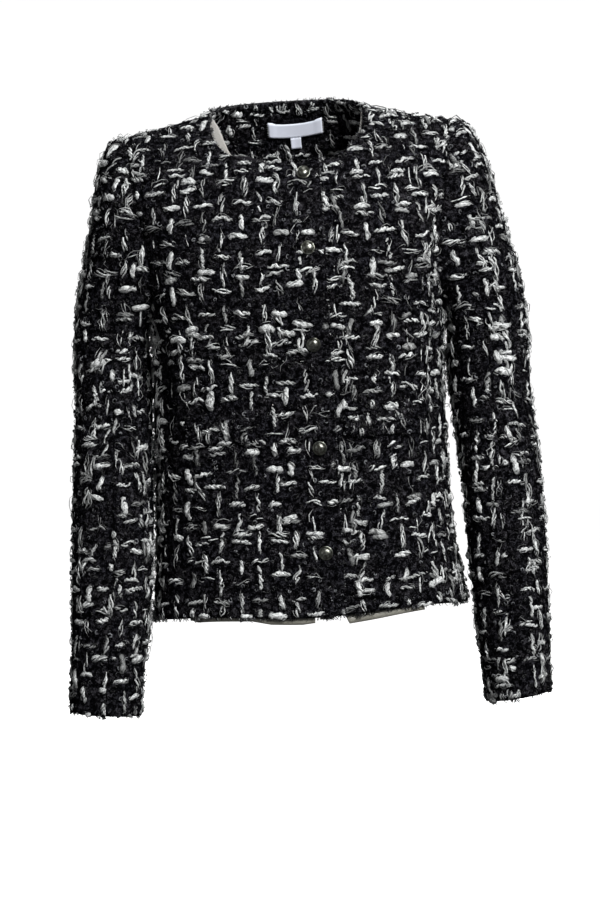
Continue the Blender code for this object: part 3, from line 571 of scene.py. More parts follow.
def tubes(paths, normals, radius, sides, length, flat=1.0, lumps=1.0):
    """Tubes along many paths of equally many points, with flat ends. The ring round a point is square to the
    path, starts underneath and may be flattened towards the cloth; lumps multiply its radius corner by
    corner. U is metres along, V is metres round."""
    count, steps = paths.shape[:2]
    tangent = unit(np.gradient(paths, axis=1))
    side = unit(np.cross(tangent, normals))
    up = np.cross(side, tangent)
    turn = 2 * np.pi * np.arange(sides) / sides - 0.5 * np.pi
    points = (paths[:, :, None] + side[:, :, None] * (lumps * radius[..., None] * np.cos(turn))[..., None]
              + up[:, :, None] * (flat * lumps * radius[..., None] * np.sin(turn))[..., None])
    k = np.arange(steps - 1)[:, None]
    m = np.arange(sides)[None]
    turns = (np.stack([m, m + 1, m + 1, m], -1) / sides + 0 * k[..., None]).reshape(-1, 4)
    along = (np.stack([k, k, k + 1, k + 1], -1) / (steps - 1) + 0 * m[..., None]).reshape(-1, 4)
    # each tube's pattern begins elsewhere
    begin = 0.37 * np.arange(count)[:, None, None]
    girth = 2 * np.pi * radius.mean(1)[:, None, None]
    uv_quads = np.stack(np.broadcast_arrays(along * length[:, None, None] + begin, turns * girth + begin), -1)
    fan = np.arange(1, sides - 1)
    end = np.stack([0 * fan, fan + 1, fan], -1)
    last = np.stack([0 * fan, fan, fan + 1], -1) + (steps - 1) * sides
    start = np.arange(count)[:, None, None] * steps * sides
    quads = (cells_round(steps, sides)[None] + start).reshape(-1, 4)
    tris = (np.concatenate([end, last])[None] + start).reshape(-1, 3)
    return points.reshape(-1, 3), quads, tris, uv_quads.reshape(-1, 4, 2), np.zeros((len(tris), 3, 2))


def joined(parts):
    """Several tube sets as one: points, quads, triangles, both UV arrays and the tones."""
    first = np.cumsum([0] + [len(part[0]) for part in parts])
    moved = [(p, q + f, t + f, *rest) for f, (p, q, t, *rest) in zip(first, parts)]
    return [np.concatenate(x) for x in zip(*moved)]


def yarn_lines(low, high, paired, random):
    """Places of parallel white yarns, a pitch apart, with their number for the over-and-under check. A share
    of them is a pair: its second yarn lies 5 to 9 mm further on and goes over and under with the first."""
    number = np.arange(np.floor(low / PITCH) - 1, np.ceil(high / PITCH) + 2)
    place = number * PITCH + random.normal(0, PITCH_SWAY, len(number))
    second = random.random(len(number)) < paired
    return (np.concatenate([place, place[second] + random.uniform(*PAIR_APART, second.sum())]),
            np.concatenate([number, number[second]]))


def covered(s, t, bare):
    """Which places lie under a sewn-on piece: (|ds| / half s)^e + (|dt| / half t)^e < 1 for a row of bare."""
    under = np.zeros(np.shape(s), bool)
    for middle_s, middle_t, half_s, half_t, e in bare:
        under |= (np.abs(s - middle_s) / half_s) ** e + (np.abs(t - middle_t) / half_t) ** e < 1.0
    return under


def white_floats(name, panel, seed, thin_strip=None, bare=()):
    """Places floats on a panel's own net and builds their yarn.

    A float's middle line runs along s or t with a slow sway, level ones arched up, and rises as
    1 - |2x - 1|^3.4; its strands wind round it, their radius and distance swelling as sin(pi x)^0.4, and
    their tone darkens towards the ends as painted shade, where they dive into the black. Half of a float's
    kind and thickness is its own and half is its yarn's. thin_strip is (from s, to s), where few show."""
    outer, inner, s_grid, t_grid = panel
    random = np.random.default_rng(seed)
    up_place, up_number = yarn_lines(s_grid.min(), s_grid.max(), UPRIGHT_PAIRS, random)
    over_place, over_number = yarn_lines(-0.01, t_grid.max(), LEVEL_PAIRS, random)
    up, over = [x.ravel() for x in np.mgrid[0:len(up_place), 0:len(over_place)]]
    s0, t0 = up_place[up], over_place[over]
    upright = (up_number[up] + over_number[over]) % 2 == 1
    # where a pair is crossed, only its first yarn has the float that crosses it
    shown = random.random(len(s0)) < FLOATS_SHOWN
    second_up = up >= len(np.unique(up_number))
    second_over = over >= len(np.unique(over_number))
    shown &= ~(upright & second_over) & ~(~upright & second_up)
    if thin_strip:
        shown &= (s0 < thin_strip[0]) | (s0 > thin_strip[1]) | (random.random(len(s0)) < THIN_STRIP_SHOWN)
    shown &= ~covered(s0, t0, bare)
    nature = np.concatenate([random.random(len(up_place)), random.random(len(over_place))])
    nature = nature[np.where(upright, up, len(up_place) + over)][shown]
    s0, t0, upright = s0[shown], t0[shown], upright[shown]
    count = len(s0)
    along_shift, across_shift = random.normal(0, SHIFT_ALONG, count), random.normal(0, SHIFT_ACROSS, count)
    s0 = s0 + np.where(upright, across_shift, along_shift)
    t0 = t0 + np.where(upright, along_shift, across_shift)
    draw = 0.5 * random.random(count) + 0.5 * nature
    # the sum of two even draws crowds to the middle, and this spreads it again
    draw = np.where(draw < 0.5, 2 * draw ** 2, 1 - 2 * (1 - draw) ** 2)[:, None]
    kind = (draw > np.where(upright[:, None], UPRIGHT_LIMITS, LEVEL_LIMITS)).sum(1)
    length = random.uniform(*FLOAT_LENGTH, count)
    length = length + np.where(upright, random.uniform(*UPRIGHT_MORE, count), 0.0)
    length = np.where(kind == FAT, random.uniform(*FAT_LENGTH, count), length)
    # four crossing waves, 60 to 170 mm long, make some parts of the cloth whiter and some blacker
    waves, phases = random.uniform(-WHITER_WAVES, WHITER_WAVES, (2, 4)), random.uniform(0, 2 * np.pi, 4)
    zone = 0.5 * np.sin(2 * np.pi * (s0[:, None] * waves[0] + t0[:, None] * waves[1]) + phases).sum(1)
    girth = GIRTH[0] + GIRTH[1] * random.random(count) + GIRTH[2] * nature + GIRTH[3] * np.clip(zone, -1, 1)
    bow, s_bend, slant = [random.normal(0, size, (count, 1)) for size in BENDS]
    bow += np.where(upright, 0.0, LEVEL_BOW)[:, None]

    def laid(x):
        """Rows and columns of the middle line at shares x of each float, and which lie on free cloth."""
        along = (x - 0.5) * length[:, None]
        sway = bow * np.sin(np.pi * x) + s_bend * np.sin(2 * np.pi * x) + slant * along
        s = s0[:, None] + np.where(upright[:, None], sway, along)
        t = t0[:, None] + np.where(upright[:, None], along, sway)
        i, j, inside = find(s_grid, t_grid, s, t)
        return i, j, inside & ~covered(s, t, bare)

    # a float is cut off where its cloth ends
    trial = np.linspace(0, 1, 13)
    inside = laid(trial[None])[2]
    first = np.where(inside.any(1), trial[np.argmax(inside, 1)], 0.0)
    last = np.where(inside.any(1), trial[12 - np.argmax(inside[:, ::-1], 1)], 0.0)
    x = np.linspace(0, 1, FLOAT_POINTS)[None]
    i, j, _ = laid(first[:, None] + (last - first)[:, None] * x)
    length = length * (last - first)
    keep = length > SHORTEST
    i, j = np.clip(i[keep], 0, len(outer) - 1), np.clip(j[keep], 0, outer.shape[1] - 1)
    kind, length, girth, zone = kind[keep], length[keep], girth[keep][:, None], zone[keep][:, None]
    out = outward(outer, inner, i, j)
    top = random.uniform(*FLOAT_TOP, (len(kind), 1))
    middle = at(outer, i, j) + out * (-FLOAT_DIVE + top * (1 - np.abs(2 * x - 1) ** 3.4))[..., None]
    side = unit(np.cross(unit(np.gradient(middle, axis=1)), out))
    swell = 0.45 + 0.55 * np.sin(np.pi * x) ** 0.4
    hand = random.choice([-1, 1], (len(kind), 1))
    begin = random.random((len(kind), 1))
    is_faint = random.random((len(kind), 1)) < FAINT_SHARE[0] + FAINT_SHARE[1] * np.clip(-zone, 0, 1)
    faint = np.where(is_faint, random.uniform(*FAINT_TONE, (len(kind), 1)), 1.0)
    parts = []
    for which, thin, thick, sides, every, off, place, turns, share_with, dim, bright in STRANDS:
        own = np.flatnonzero(((kind == which) | (which == HAIR)) & (random.random(len(kind)) < share_with))
        one = (len(own), 1)
        winding = turns * random.uniform(0.7, 1.3, one) * (length[own] / FLOAT_LENGTH[0])[:, None]
        drift = random.normal(0, 0.07, one) * np.sin(2 * np.pi * (x + random.random(one)))
        phase = 2 * np.pi * (begin[own] + place + drift + hand[own] * winding * x)
        reach = off * random.uniform(0.75, 1.3, one) * swell * girth[own]
        radius = random.uniform(thin, thick, one) * random.uniform(0.74, 1.26, (len(own), FLOAT_POINTS))
        radius = radius * swell * girth[own]
        path = (middle[own] + side[own] * (reach * np.cos(phase))[..., None]
                + out[own] * (FLOAT_FLAT * (reach * np.sin(phase) + 0.8 * off + 0.3 * radius))[..., None])
        path, normals, radius = path[:, ::every], out[own][:, ::every], radius[:, ::every]
        shade = random.uniform(dim, bright, one) * faint[own]
        # the tone falls to 30 % at both ends of a float: painted shade where the yarn dives among the black
        # loops
        tone = np.repeat(shade * (0.30 + 0.70 * np.sin(np.pi * x[:, ::every]) ** 0.8), sides)
        rough, flat = (0.15, FLOAT_FLAT) if which == FAT else (0.25, 1.0)
        lumps = random.uniform(1 - rough, 1 + rough, (*radius.shape, sides))
        parts.append((*tubes(path, normals, radius, sides, length[own], flat, lumps), tone))
    return dress(add_mesh(name + "_white_floats", *joined(parts)), "tweed", SLUB)


def slub_yarn():
    """Cool white wool. Hair, as noise drawn out along each strand, runs from grey to white and raises the
    bump; the tone attribute dims a strand as a whole and, on floats, darkens it towards the ends as painted
    shade."""
    mat, shader = new_material(
        "white_slub", Roughness=0.55, Sheen_Weight=0.05, Sheen_Roughness=0.4, Specular_IOR_Level=0.35)
    drawn_out = node(mat, "Mapping", {"Vector": cloth_place(mat), "Scale": (380.0, 850.0, 1.0)})
    hair = noise(mat, drawn_out.outputs["Vector"], 1.0, 3.0, 0.6, 0.9)
    streaks = tint(mat, hair, (0.34, 0.060, 0.062, 0.065), (0.60, 0.84, 0.86, 0.85), (0.46, 0.42, 0.43, 0.43))
    tone = node(mat, "Attribute", {}, attribute_name="tone").outputs["Fac"]
    feed(shader, {"Base Color": product(mat, streaks, tone)})
    raise_by(mat, shader, hair, 0.8, 0.0007)
    return mat


SLUB = slub_yarn()
back_floats = white_floats("back", back, 21)

# ------------------------------------------------------------------ black loops of the back
# The black boucle yarn throws small open curls, 2 to 5 mm across, all over the face of the cloth. They fray
# its outline and hide the feet of the white floats.
BACK_LOOPS = 2050
LOOP_SIZE, LOOP_THICK = (0.0011, 0.0024), (0.00044, 0.00080)
LOOP_HIGH, LOOP_LOW, HIGH_LOOPS = (0.0010, 0.0021), (0.0002, 0.0010), 0.34
LOOP_LEAN, LOOP_SWEEP = (0.08, 0.85), (3.4, 5.2)
LOOP_POINTS = 5


def black_loops(name, panel, count, seed, bare=()):
    """Curls at random places, as many per area everywhere: each is three quarters of a circle that leans by a
    random angle about a random direction, in a three-sided tube. A third of them ride over the white yarn."""
    outer, inner, s_grid, t_grid = panel
    random = np.random.default_rng(seed)
    corner = outer[1:, 1:]
    area = np.linalg.norm(np.cross(corner - outer[1:, :-1], corner - outer[:-1, 1:]), axis=-1).ravel()
    cell = random.choice(len(area), count, p=area / area.sum())
    i = cell // (outer.shape[1] - 1) + random.random(count)
    j = cell % (outer.shape[1] - 1) + random.random(count)
    free = ~covered(at(s_grid, i, j), at(t_grid, i, j), bare)
    i, j = i[free], j[free]
    count = len(i)
    one = (count, 1)
    out = outward(outer, inner, i, j)
    way = random.normal(0, 1, (count, 3))
    flat = unit(way - out * dot(way, out))
    lean = random.uniform(*LOOP_LEAN, one)
    stand = unit(np.cross(out, flat) * np.cos(lean) + out * np.sin(lean))
    size = random.uniform(*LOOP_SIZE, one)
    start = random.uniform(0, 2 * np.pi, one)
    sweep = start + np.linspace(0, 1, LOOP_POINTS)[None] * random.uniform(*LOOP_SWEEP, one)
    high = random.random(one) < HIGH_LOOPS
    lift = np.where(high, random.uniform(*LOOP_HIGH, one), random.uniform(*LOOP_LOW, one))
    path = ((at(outer, i, j) + out * lift)[:, None] + flat[:, None] * (size * np.cos(sweep))[..., None]
            + stand[:, None] * (size * random.uniform(0.6, 1.0, one) * np.sin(sweep))[..., None])
    radius = random.uniform(*LOOP_THICK, one) * np.ones((1, LOOP_POINTS))
    across_loop = np.broadcast_to(np.cross(flat, stand)[:, None], path.shape)
    made = tubes(path, across_loop, radius, 3, 5 * size[:, 0])
    tone = np.repeat(random.random(count), LOOP_POINTS * 3)
    return dress(add_mesh(name + "_black_loops", *made, tone), "tweed", LOOPS)


def loop_yarn():
    """Black wool, most of it deep black and a tenth of it charcoal, with small glints from its gloss; the
    palest charcoal loops are lightened further as painted glints.
    """
    mat, shader = new_material("black_loops", Roughness=0.34, Specular_IOR_Level=0.40)
    tone = node(mat, "Attribute", {}, attribute_name="tone").outputs["Fac"]
    # tones from 0.82 to 1 rise to 0.15: charcoal wool, its palest loops lightened as painted glints
    wool_and_painted_glints = tint(mat, tone, (0.45, 0.0014, 0.0014, 0.0017), (1.0, 0.150, 0.155, 0.165),
                (0.82, 0.013, 0.013, 0.016))
    feed(shader, {"Base Color": wool_and_painted_glints})
    return mat


LOOPS = loop_yarn()
black_loops("back", back, BACK_LOOPS, 31)

# ------------------------------------------------------------------ fronts
# Two fronts of the same tweed, 0.25 and 0.21 m wide and 0.55 m long as cut. The wearer's right one laps over
# the left by 28 mm, and the left one is set back there by its own thickness. Neck, edge and hem are raw.
ARMHOLE_FRONT = 32.0
LAP_OVER, LAP_UNDER = 0.0300, 0.0015
UNDERLAP_STEP, UNDERLAP_EASE = 0.0010, 0.034
HEM_DIP, HEM_DIP_REACH = 0.0065, 0.12
front_seam = armhole_seam(ARMHOLE_FRONT, -1.0, PSI_FRONT)


def angle_at_x(level, x):
    """Angle on the front half of a ring where its x is the one asked for."""
    x = x - curve(BODY_RINGS, CENTRE, level)
    share = np.abs(x) / curve(BODY_RINGS, HALF_WIDTH, level)
    return -np.arccos(np.clip(np.sign(x) * share ** (curve(BODY_RINGS, SQUARENESS, level) / 2.0), -1, 1))


def front_grids(lap, under, columns):
    """The front on the +x side: rows of levels, columns from the lapped edge to the side and armhole seams.
    The lowest part dips by HEM_DIP towards the closing. The front underneath steps back by wall and
    clearance, easing out past the other's edge."""
    start = angle_at_x(WAIST, lap)
    edge = (even_angles(start, 0.0, columns) - start) / -start
    angle = (angle_at_x(SEAM_ROWS, lap)[:, None] * (1.0 - edge)
             - armhole_angle(SEAM_ROWS, ARMHOLE_FRONT)[:, None] * edge ** 1.5)
    level = EVEN_ROWS[:, None] + (SEAM_ROWS - EVEN_ROWS)[:, None] * edge[None] ** 2
    outer = body(angle, level)
    outer[..., 2] -= HEM_DIP * ramp(level - 9.0) * hump(outer[..., 0] / HEM_DIP_REACH)
    normal = normal_of(body, angle, level)
    rim = -normal.copy()
    seam_column(outer, rim, -1, -1.0, front_seam)
    if under:
        step = 1.0 - ramp((outer[..., 0] - (LAP_OVER + 0.003)) / UNDERLAP_EASE)
        outer = outer - normal * ((WALL + UNDERLAP_STEP) * step)[..., None]
    return outer, outer + rim * WALL


def leaning_other_way(make):
    """A sheet made on the +x side with the body's sideways lean turned over, then mirrored to the -x side."""
    BODY_RINGS[:, CENTRE] *= -1.0
    grids = make()
    BODY_RINGS[:, CENTRE] *= -1.0
    return [mirror(g)[:, ::-1] for g in grids]


fronts = {}
for name, grids, edge_x, edge_column, seed in (
        ("front_right", leaning_other_way(lambda: front_grids(-LAP_OVER, False, 56)), LAP_OVER, -1, 12),
        ("front_left", front_grids(LAP_UNDER, True, 48), LAP_UNDER, 0, 13)):
    s, t = cloth_run(grids[0])
    # s counts from the body's middle on both fronts, so that the weave runs on through the closing
    fronts[name] = (*grids, s + (edge_x - s[:, edge_column].mean()), t)
    tweed_cloth(name, fronts[name], seed)

# ------------------------------------------------------------------ pocket welts
# A straight welt of the same tweed, 72 by 26 mm, is stitched over each pocket slit at the waist. Its edges
# are folded in and rounded, and its checks don't meet those of the front, so it all but disappears.
WELT_LENGTH, WELT_HEIGHT, WELT_WALL = 0.072, 0.0258, 0.0022
WELT_LIFT, WELT_FOLD = 0.0005, 0.0011
WELT_TOP = -0.3120
WELT_SHIFT_S, WELT_SHIFT_T = 0.0050, 0.0075
WELT_ROWS, WELT_COLUMNS = 13, 29
WELT_LOOPS = 60
BARE_EDGE = 0.001
CORNERED, ROUND = 10.0, 2.0
bare = {"front_right": [], "front_left": []}


def zone_under(s, t, edge):
    """A row of bare for the rectangle that a sewn-on piece covers, with an edge round it."""
    return s.mean(), t.mean(), 0.5 * np.ptp(s) + edge, 0.5 * np.ptp(t) + edge, CORNERED


# side, x of the welt's outer end, share across the front where its rows are measured, seed of its floats
for side, end_x, measured, seed in (("right", -0.1165, 0.2, 61), ("left", 0.1070, 0.8, 62)):
    outer, inner, s, t = fronts["front_" + side]
    down = outer[:, round(measured * (outer.shape[1] - 1)), 2][::-1]
    top, low = [np.interp(z, down, np.arange(len(outer))[::-1]) for z in (WELT_TOP, WELT_TOP - WELT_HEIGHT)]
    fine = np.linspace(0, outer.shape[1] - 1, 600)
    line = at(outer, np.full(600, 0.5 * (top + low)), fine)
    run = run_along(line)
    end = np.interp(end_x, line[:, 0], run)
    ends = np.sort([end, end - np.sign(end_x) * WELT_LENGTH])
    columns = np.interp(np.linspace(*ends, WELT_COLUMNS), run, fine)
    i, j = np.meshgrid(np.linspace(top, low, WELT_ROWS), columns, indexing="ij")
    u, v = np.meshgrid(np.linspace(-1, 1, WELT_ROWS), np.linspace(-1, 1, WELT_COLUMNS), indexing="ij")
    out = outward(outer, inner, i, j)
    fold = np.maximum(np.abs(u) ** 9, np.abs(v) ** 24)
    near = at(outer, i, j) + out * WELT_LIFT
    far = near + out * (WELT_WALL - WELT_FOLD * fold)[..., None]
    s, t = at(s, i, j), at(t, i, j)
    welt = (far, near, s + WELT_SHIFT_S, t + WELT_SHIFT_T)
    name = "pocket_welt_" + side
    cloth = tweed_cloth(name, welt, 60)
    yarn = [white_floats(name, welt, seed), black_loops(name, welt, WELT_LOOPS, 63)]
    bare["front_" + side].append(zone_under(s, t, BARE_EDGE))

# ------------------------------------------------------------------ snaps
# Five pressed metal snap caps, 14 mm across, close the fronts. Each is a shallow dome with a rolled rim, in
# a gunmetal plating that is worn to brass tones, riveted through the upper front.
SNAP_RADIUS, SNAP_HEIGHT, SNAP_LIFT = 0.0070, 0.0046, 0.0005
SNAP_X = 0.0135
SNAP_Z = (-0.0740, -0.1500, -0.2450, -0.3465, -0.4495)
SNAP_SIDES = 40
SNAP_BARE = SNAP_RADIUS + 0.0012
UPWARDS = np.array([0.0, 0.0, 1.0])


def snap_profile():
    """Radius and height: a half circle for the rolled rim, a narrow groove, then a quarter of an ellipse."""
    roll = np.radians(np.linspace(-100, 130, 9))
    rise = np.radians(np.linspace(0, 90, 13))
    radius = np.concatenate([0.90 + 0.10 * np.cos(roll), 0.845 * np.cos(rise) ** 0.86])
    height = np.concatenate([0.14 + 0.13 * np.sin(roll), 0.16 + 0.84 * np.sin(rise)])
    return radius * SNAP_RADIUS, height * SNAP_HEIGHT


def snap_cap(name, spot, out):
    """The profile turned about the outward way at its spot, closed by a middle point at either end."""
    side_way = unit(np.cross(UPWARDS, out))
    up_way = np.cross(out, side_way)
    radius, height = [x[:, None] for x in snap_profile()]
    turn = 2 * np.pi * np.arange(SNAP_SIDES)[None] / SNAP_SIDES
    rings = (spot + out * SNAP_LIFT + side_way * (radius[:-1] * np.cos(turn))[..., None]
             + up_way * (radius[:-1] * np.sin(turn))[..., None] + out * height[:-1, None])
    poles = np.concatenate([spot + out * (SNAP_LIFT + h) for h in (height[0], height[-1])])
    quads = cells_round(len(rings), SNAP_SIDES)
    here = np.arange(SNAP_SIDES)
    after = np.roll(here, -1)
    last, pole = (len(rings) - 1) * SNAP_SIDES, len(rings) * SNAP_SIDES
    tris = np.concatenate([np.stack([here * 0 + pole, after, here], -1),
                           np.stack([here + last, after + last, here * 0 + pole + 1], -1)])
    return add_mesh(name, np.concatenate([rings.reshape(-1, 3), poles]), quads, tris,
                    np.zeros((len(quads), 4, 2)), np.zeros((len(tris), 3, 2)))


def gunmetal():
    """Dull nickel grey with a faint olive cast, clouded by noise 2 mm wide and finely scratched."""
    mat, shader = new_material("gunmetal", Metallic=1.0, Roughness=0.30)
    cloud = noise(mat, node(mat, "TexCoord", {}).outputs["Object"], 420.0, 3.0)
    feed(shader, {"Base Color": tint(mat, cloud, (0.38, 0.070, 0.068, 0.056), (0.66, 0.230, 0.240, 0.215))})
    raise_by(mat, shader, cloud, 0.15, 0.0002)
    return mat


GUNMETAL = gunmetal()
outer, inner, s, t = fronts["front_right"]
snap_i, snap_j, _ = find(outer[..., 0], outer[..., 2], np.full((5, 1), SNAP_X), np.array(SNAP_Z)[:, None])
for k, i, j in zip(range(1, 6), snap_i, snap_j):
    cap = snap_cap("snap_%d_cap" % k, at(outer, i, j), outward(outer, inner, i, j))
    dress(cap, "snap_metal", GUNMETAL, instead_of="snap_%d" % k)
    bare["front_right"].append((at(s, i, j)[0], at(t, i, j)[0], SNAP_BARE, SNAP_BARE, ROUND))

# ------------------------------------------------------------------ white yarn and loops of the fronts
# The same two yarns as on the back. The checks run on through the closing, few white floats show along the
# snaps, and none where a welt or a snap lies on the cloth.
CLOSING = (0.004, 0.020)
FRONT_LOOPS = 1080
for name, seed, thin_strip in (("front_right", 22, CLOSING), ("front_left", 23, None)):
    floats = white_floats(name, fronts[name], seed, thin_strip, bare[name])
    black_loops(name, fronts[name], FRONT_LOOPS, seed + 20, bare[name])

# ------------------------------------------------------------------ sleeves
# Two-piece sleeves, 0.60 m long, each of an upper and an under sleeve joined by a front and a back seam and
# eased into the armhole over a padded, squared head. They hang a little forward and end in a raw cuff.
SLEEVE_LOOPS = {"upper": 1280, "under": 700}
SLEEVE_LEAN = 0.9
SLEEVE_SQUARE = 2.15
BICEPS_TILT, CUFF_TILT = 0.008, 0.004
HEAD_IN = 0.016
# how far the cap's handles reach, as shares of its depth: at the armpit, then what the crown takes or adds
CAP_NEAR, CAP_FAR = (0.30, 0.14), (0.34, 0.20, 0.10)
CAP_ROWS, ARM_ROWS = 56, 92
# columns of the front and the back seam, counted round from the crown
FRONT_SPLIT, BACK_SPLIT = 22, 64
# z, axis x (outward), axis y, half width, half depth
SLEEVE_RINGS = {
    "right": np.array([
        (-0.2560, 0.1903, 0.001, 0.0378, 0.0545),
        (-0.3000, 0.1925, -0.006, 0.0384, 0.0535),
        (-0.3450, 0.1945, -0.017, 0.0394, 0.0520),
        (-0.4000, 0.1973, -0.030, 0.0403, 0.0495),
        (-0.4600, 0.2007, -0.042, 0.0402, 0.0470),
        (-0.5200, 0.2050, -0.053, 0.0386, 0.0445),
        (-0.5600, 0.2105, -0.060, 0.0358, 0.0430),
        (-0.5960, 0.2142, -0.064, 0.0358, 0.0420),
    ]),
    "left": np.array([
        (-0.2560, 0.1900, 0.000, 0.0407, 0.0545),
        (-0.3000, 0.1912, -0.003, 0.0405, 0.0535),
        (-0.3450, 0.1942, -0.008, 0.0402, 0.0520),
        (-0.4000, 0.1968, -0.018, 0.0392, 0.0495),
        (-0.4600, 0.1973, -0.026, 0.0388, 0.0470),
        (-0.5200, 0.1978, -0.032, 0.0367, 0.0445),
        (-0.5700, 0.1984, -0.037, 0.0340, 0.0425),
        (-0.6050, 0.1990, -0.040, 0.0328, 0.0415),
    ]),
}
# creases of a sleeve: degrees round from the outer side, z, half width in degrees, half height, depth, slant
SLEEVE_CREASES = (
    (70.0, -0.315, 55.0, 0.012, -0.0028, 0.010),
    (110.0, -0.345, 50.0, 0.011, -0.0030, -0.006),
    (85.0, -0.385, 55.0, 0.012, -0.0024, 0.012),
    (60.0, -0.440, 45.0, 0.014, -0.0018, -0.010),
    (250.0, -0.330, 45.0, 0.013, -0.0024, 0.010),
    (20.0, -0.150, 40.0, 0.016, -0.0014, 0.004),
    (150.0, -0.500, 60.0, 0.012, -0.0018, 0.014),
    (330.0, -0.480, 55.0, 0.014, -0.0016, -0.012),
    (0.0, -0.190, 85.0, 0.055, 0.0065, 0.0),
)


def sleeve_ring(psi, z, rings):
    """x = axis + w |cos|^(2/n), y = axis - d |sin|^(2/n): 0 degrees on the outer side, 90 in front."""
    key = rings * np.array([-1.0, 1.0, 1.0, 1.0, 1.0])
    axis_x, axis_y, wide, deep = [curve(key, k, -z) for k in (1, 2, 3, 4)]
    c = np.cos(np.radians(psi))
    s = np.sin(np.radians(psi))
    x = axis_x + wide * np.sign(c) * np.abs(c) ** (2.0 / SLEEVE_SQUARE)
    y = axis_y - deep * np.sign(s) * np.abs(s) ** (2.0 / SLEEVE_SQUARE)
    return np.stack([x, y, z + 0.0 * x], -1)


def sleeve_out(outer):
    """Normals of a closed sleeve's grid, away from its own middle."""
    out = unit(np.cross(np.roll(outer, -1, 1) - np.roll(outer, 1, 1), np.gradient(outer, axis=0)))
    return out * np.sign(dot(out, outer - outer.mean(1, keepdims=True)))


def whole_sleeve(rings):
    """Columns from the armhole to the cuff: a cubic Bezier from the seam to the tilted biceps ring, then even
    steps down the arm's rings, all moved out or in by the creases. The inner grid lies a wall further in."""
    join = {key: np.concatenate([front_seam[key], back_seam[key][-2:0:-1]]) for key in front_seam}
    psi = np.concatenate([PSI_FRONT, PSI_BACK[-2:0:-1]])
    tilt = np.cos(np.radians(psi))
    start = join["point"] + join["over"] * HALF_GAP
    z_ring = rings[0, 0] + BICEPS_TILT * tilt
    ring = sleeve_ring(psi, z_ring, rings)
    down = unit(sleeve_ring(psi, z_ring - 0.004, rings) - ring)
    reach = np.linalg.norm(ring - start, axis=-1, keepdims=True)
    crown = np.cos(np.radians(psi) * 0.5)[:, None] ** 2
    near = start + join["leave"] * reach * (CAP_NEAR[0] - CAP_NEAR[1] * crown)
    far = ring - down * reach * (CAP_FAR[0] + CAP_FAR[1] * crown + CAP_FAR[2] * crown ** 3)
    far[:, :1] -= HEAD_IN * crown ** 3
    t = np.linspace(0.0, 1.0, CAP_ROWS + 1)[:, None, None]
    cap = (1 - t) ** 3 * start + 3 * (1 - t) ** 2 * t * near + 3 * (1 - t) * t ** 2 * far + t ** 3 * ring
    even = np.linspace(0.0, 1.0, ARM_ROWS + 1)[1:, None]
    z = z_ring[None] + (rings[-1, 0] + CUFF_TILT * tilt[None] - z_ring[None]) * even
    outer = np.concatenate([cap, sleeve_ring(psi[None] + 0 * z, z, rings)])
    move = np.zeros(outer.shape[:2])
    for side, middle, width, height, depth, slant in SLEEVE_CREASES:
        off = (psi[None] - side + 180.0) % 360.0 - 180.0
        drop = outer[..., 2] - middle - slant * off / width
        move += depth * hump(off / width) * hump(drop / (1.8 * height))
    move[0] = 0.0
    outer = outer + sleeve_out(outer) * move[..., None]
    inner = outer - sleeve_out(outer) * WALL
    inner[0] = outer[0] + join["rim"] * WALL
    return outer, inner


sleeves = []
for side, seed in (("right", 41), ("left", 51)):
    whole = whole_sleeve(SLEEVE_RINGS[side])
    total = whole[0].shape[1]
    across = unit(np.roll(whole[0], -1, 1) - np.roll(whole[0], 1, 1))
    for part, first, last in (("upper", BACK_SPLIT, total + FRONT_SPLIT), ("under", FRONT_SPLIT, BACK_SPLIT)):
        columns = np.arange(first, last + 1) % total
        shift = np.zeros((1, len(columns), 1))
        shift[0, 0], shift[0, -1] = HALF_GAP, -HALF_GAP
        outer, inner = [(grid[:, columns] + across[:, columns] * shift)[:, ::-1] for grid in whole]
        if side == "right":
            outer, inner = mirror(outer)[:, ::-1], mirror(inner)[:, ::-1]
        sleeve = (outer, inner, *cloth_run(outer, SLEEVE_LEAN if side == "right" else -SLEEVE_LEAN))
        name = "sleeve_%s_%s" % (part, side)
        cloth = tweed_cloth(name, sleeve, seed)
        floats = white_floats(name, sleeve, seed + 100)
        black_loops(name, sleeve, SLEEVE_LOOPS[part], seed + 200)
        sleeves.append(sleeve)
        seed += 1

# ------------------------------------------------------------------ back neck facing
# A 73 mm deep facing of the same tweed is sewn inside the back neck, from shoulder seam to shoulder seam,
# 0.19 m wide at the neck and 0.35 m at its lower edge. It shows through the neck opening and carries the
# label.
FACING_WALL = 0.0012
FACING_ROWS, FACING_EDGE = 18, 6
FACING_LOOPS = 260
LABEL_SIZE, TAB_SIZE = (0.0570, 0.0135), (0.0110, 0.0110)
LABEL_X = 0.0090
LABEL_TOP, TAB_TOP = -0.0029, -0.0165
LABEL_TILT, LABEL_SMILE, LABEL_EARS = np.radians(2.0), 0.0026, 0.0012
LABEL_BARE = 0.0030
within = (slice(0, FACING_ROWS + 1), slice(FACING_EDGE, BACK_COLUMNS - FACING_EDGE + 1))
facing_out = -unit(back_outer - back_inner)[within]
facing_near = back_inner[within] + facing_out * SEAM_GAP
facing_far = facing_near + facing_out * FACING_WALL
facing = (facing_far, facing_near, back[2][within], back[3][within])
facing_cloth = tweed_cloth("neck_facing_back", facing, 70)


def on_facing(width, height, top, columns, rows):
    """Rows and columns of the facing under a plate that hangs from the height top round LABEL_X. The plate is
    turned by LABEL_TILT about its top's middle, its ends curve up with the square of the distance, and their
    folded corners stand LABEL_EARS above its top edge."""
    along, down = np.meshgrid(width * np.linspace(-0.5, 0.5, columns + 1),
                              height * np.linspace(0, 1, rows + 1))
    share = np.abs(2 * along / LABEL_SIZE[0])
    up = LABEL_SMILE * (share ** 2 - 1.0) - down + LABEL_EARS * ramp((share - 0.72) / 0.06) * (down == 0)
    x = LABEL_X + along * np.cos(LABEL_TILT) - up * np.sin(LABEL_TILT)
    z = top + along * np.sin(LABEL_TILT) + up * np.cos(LABEL_TILT)
    return find(facing_far[..., 0], facing_far[..., 2], x, z)[:2]


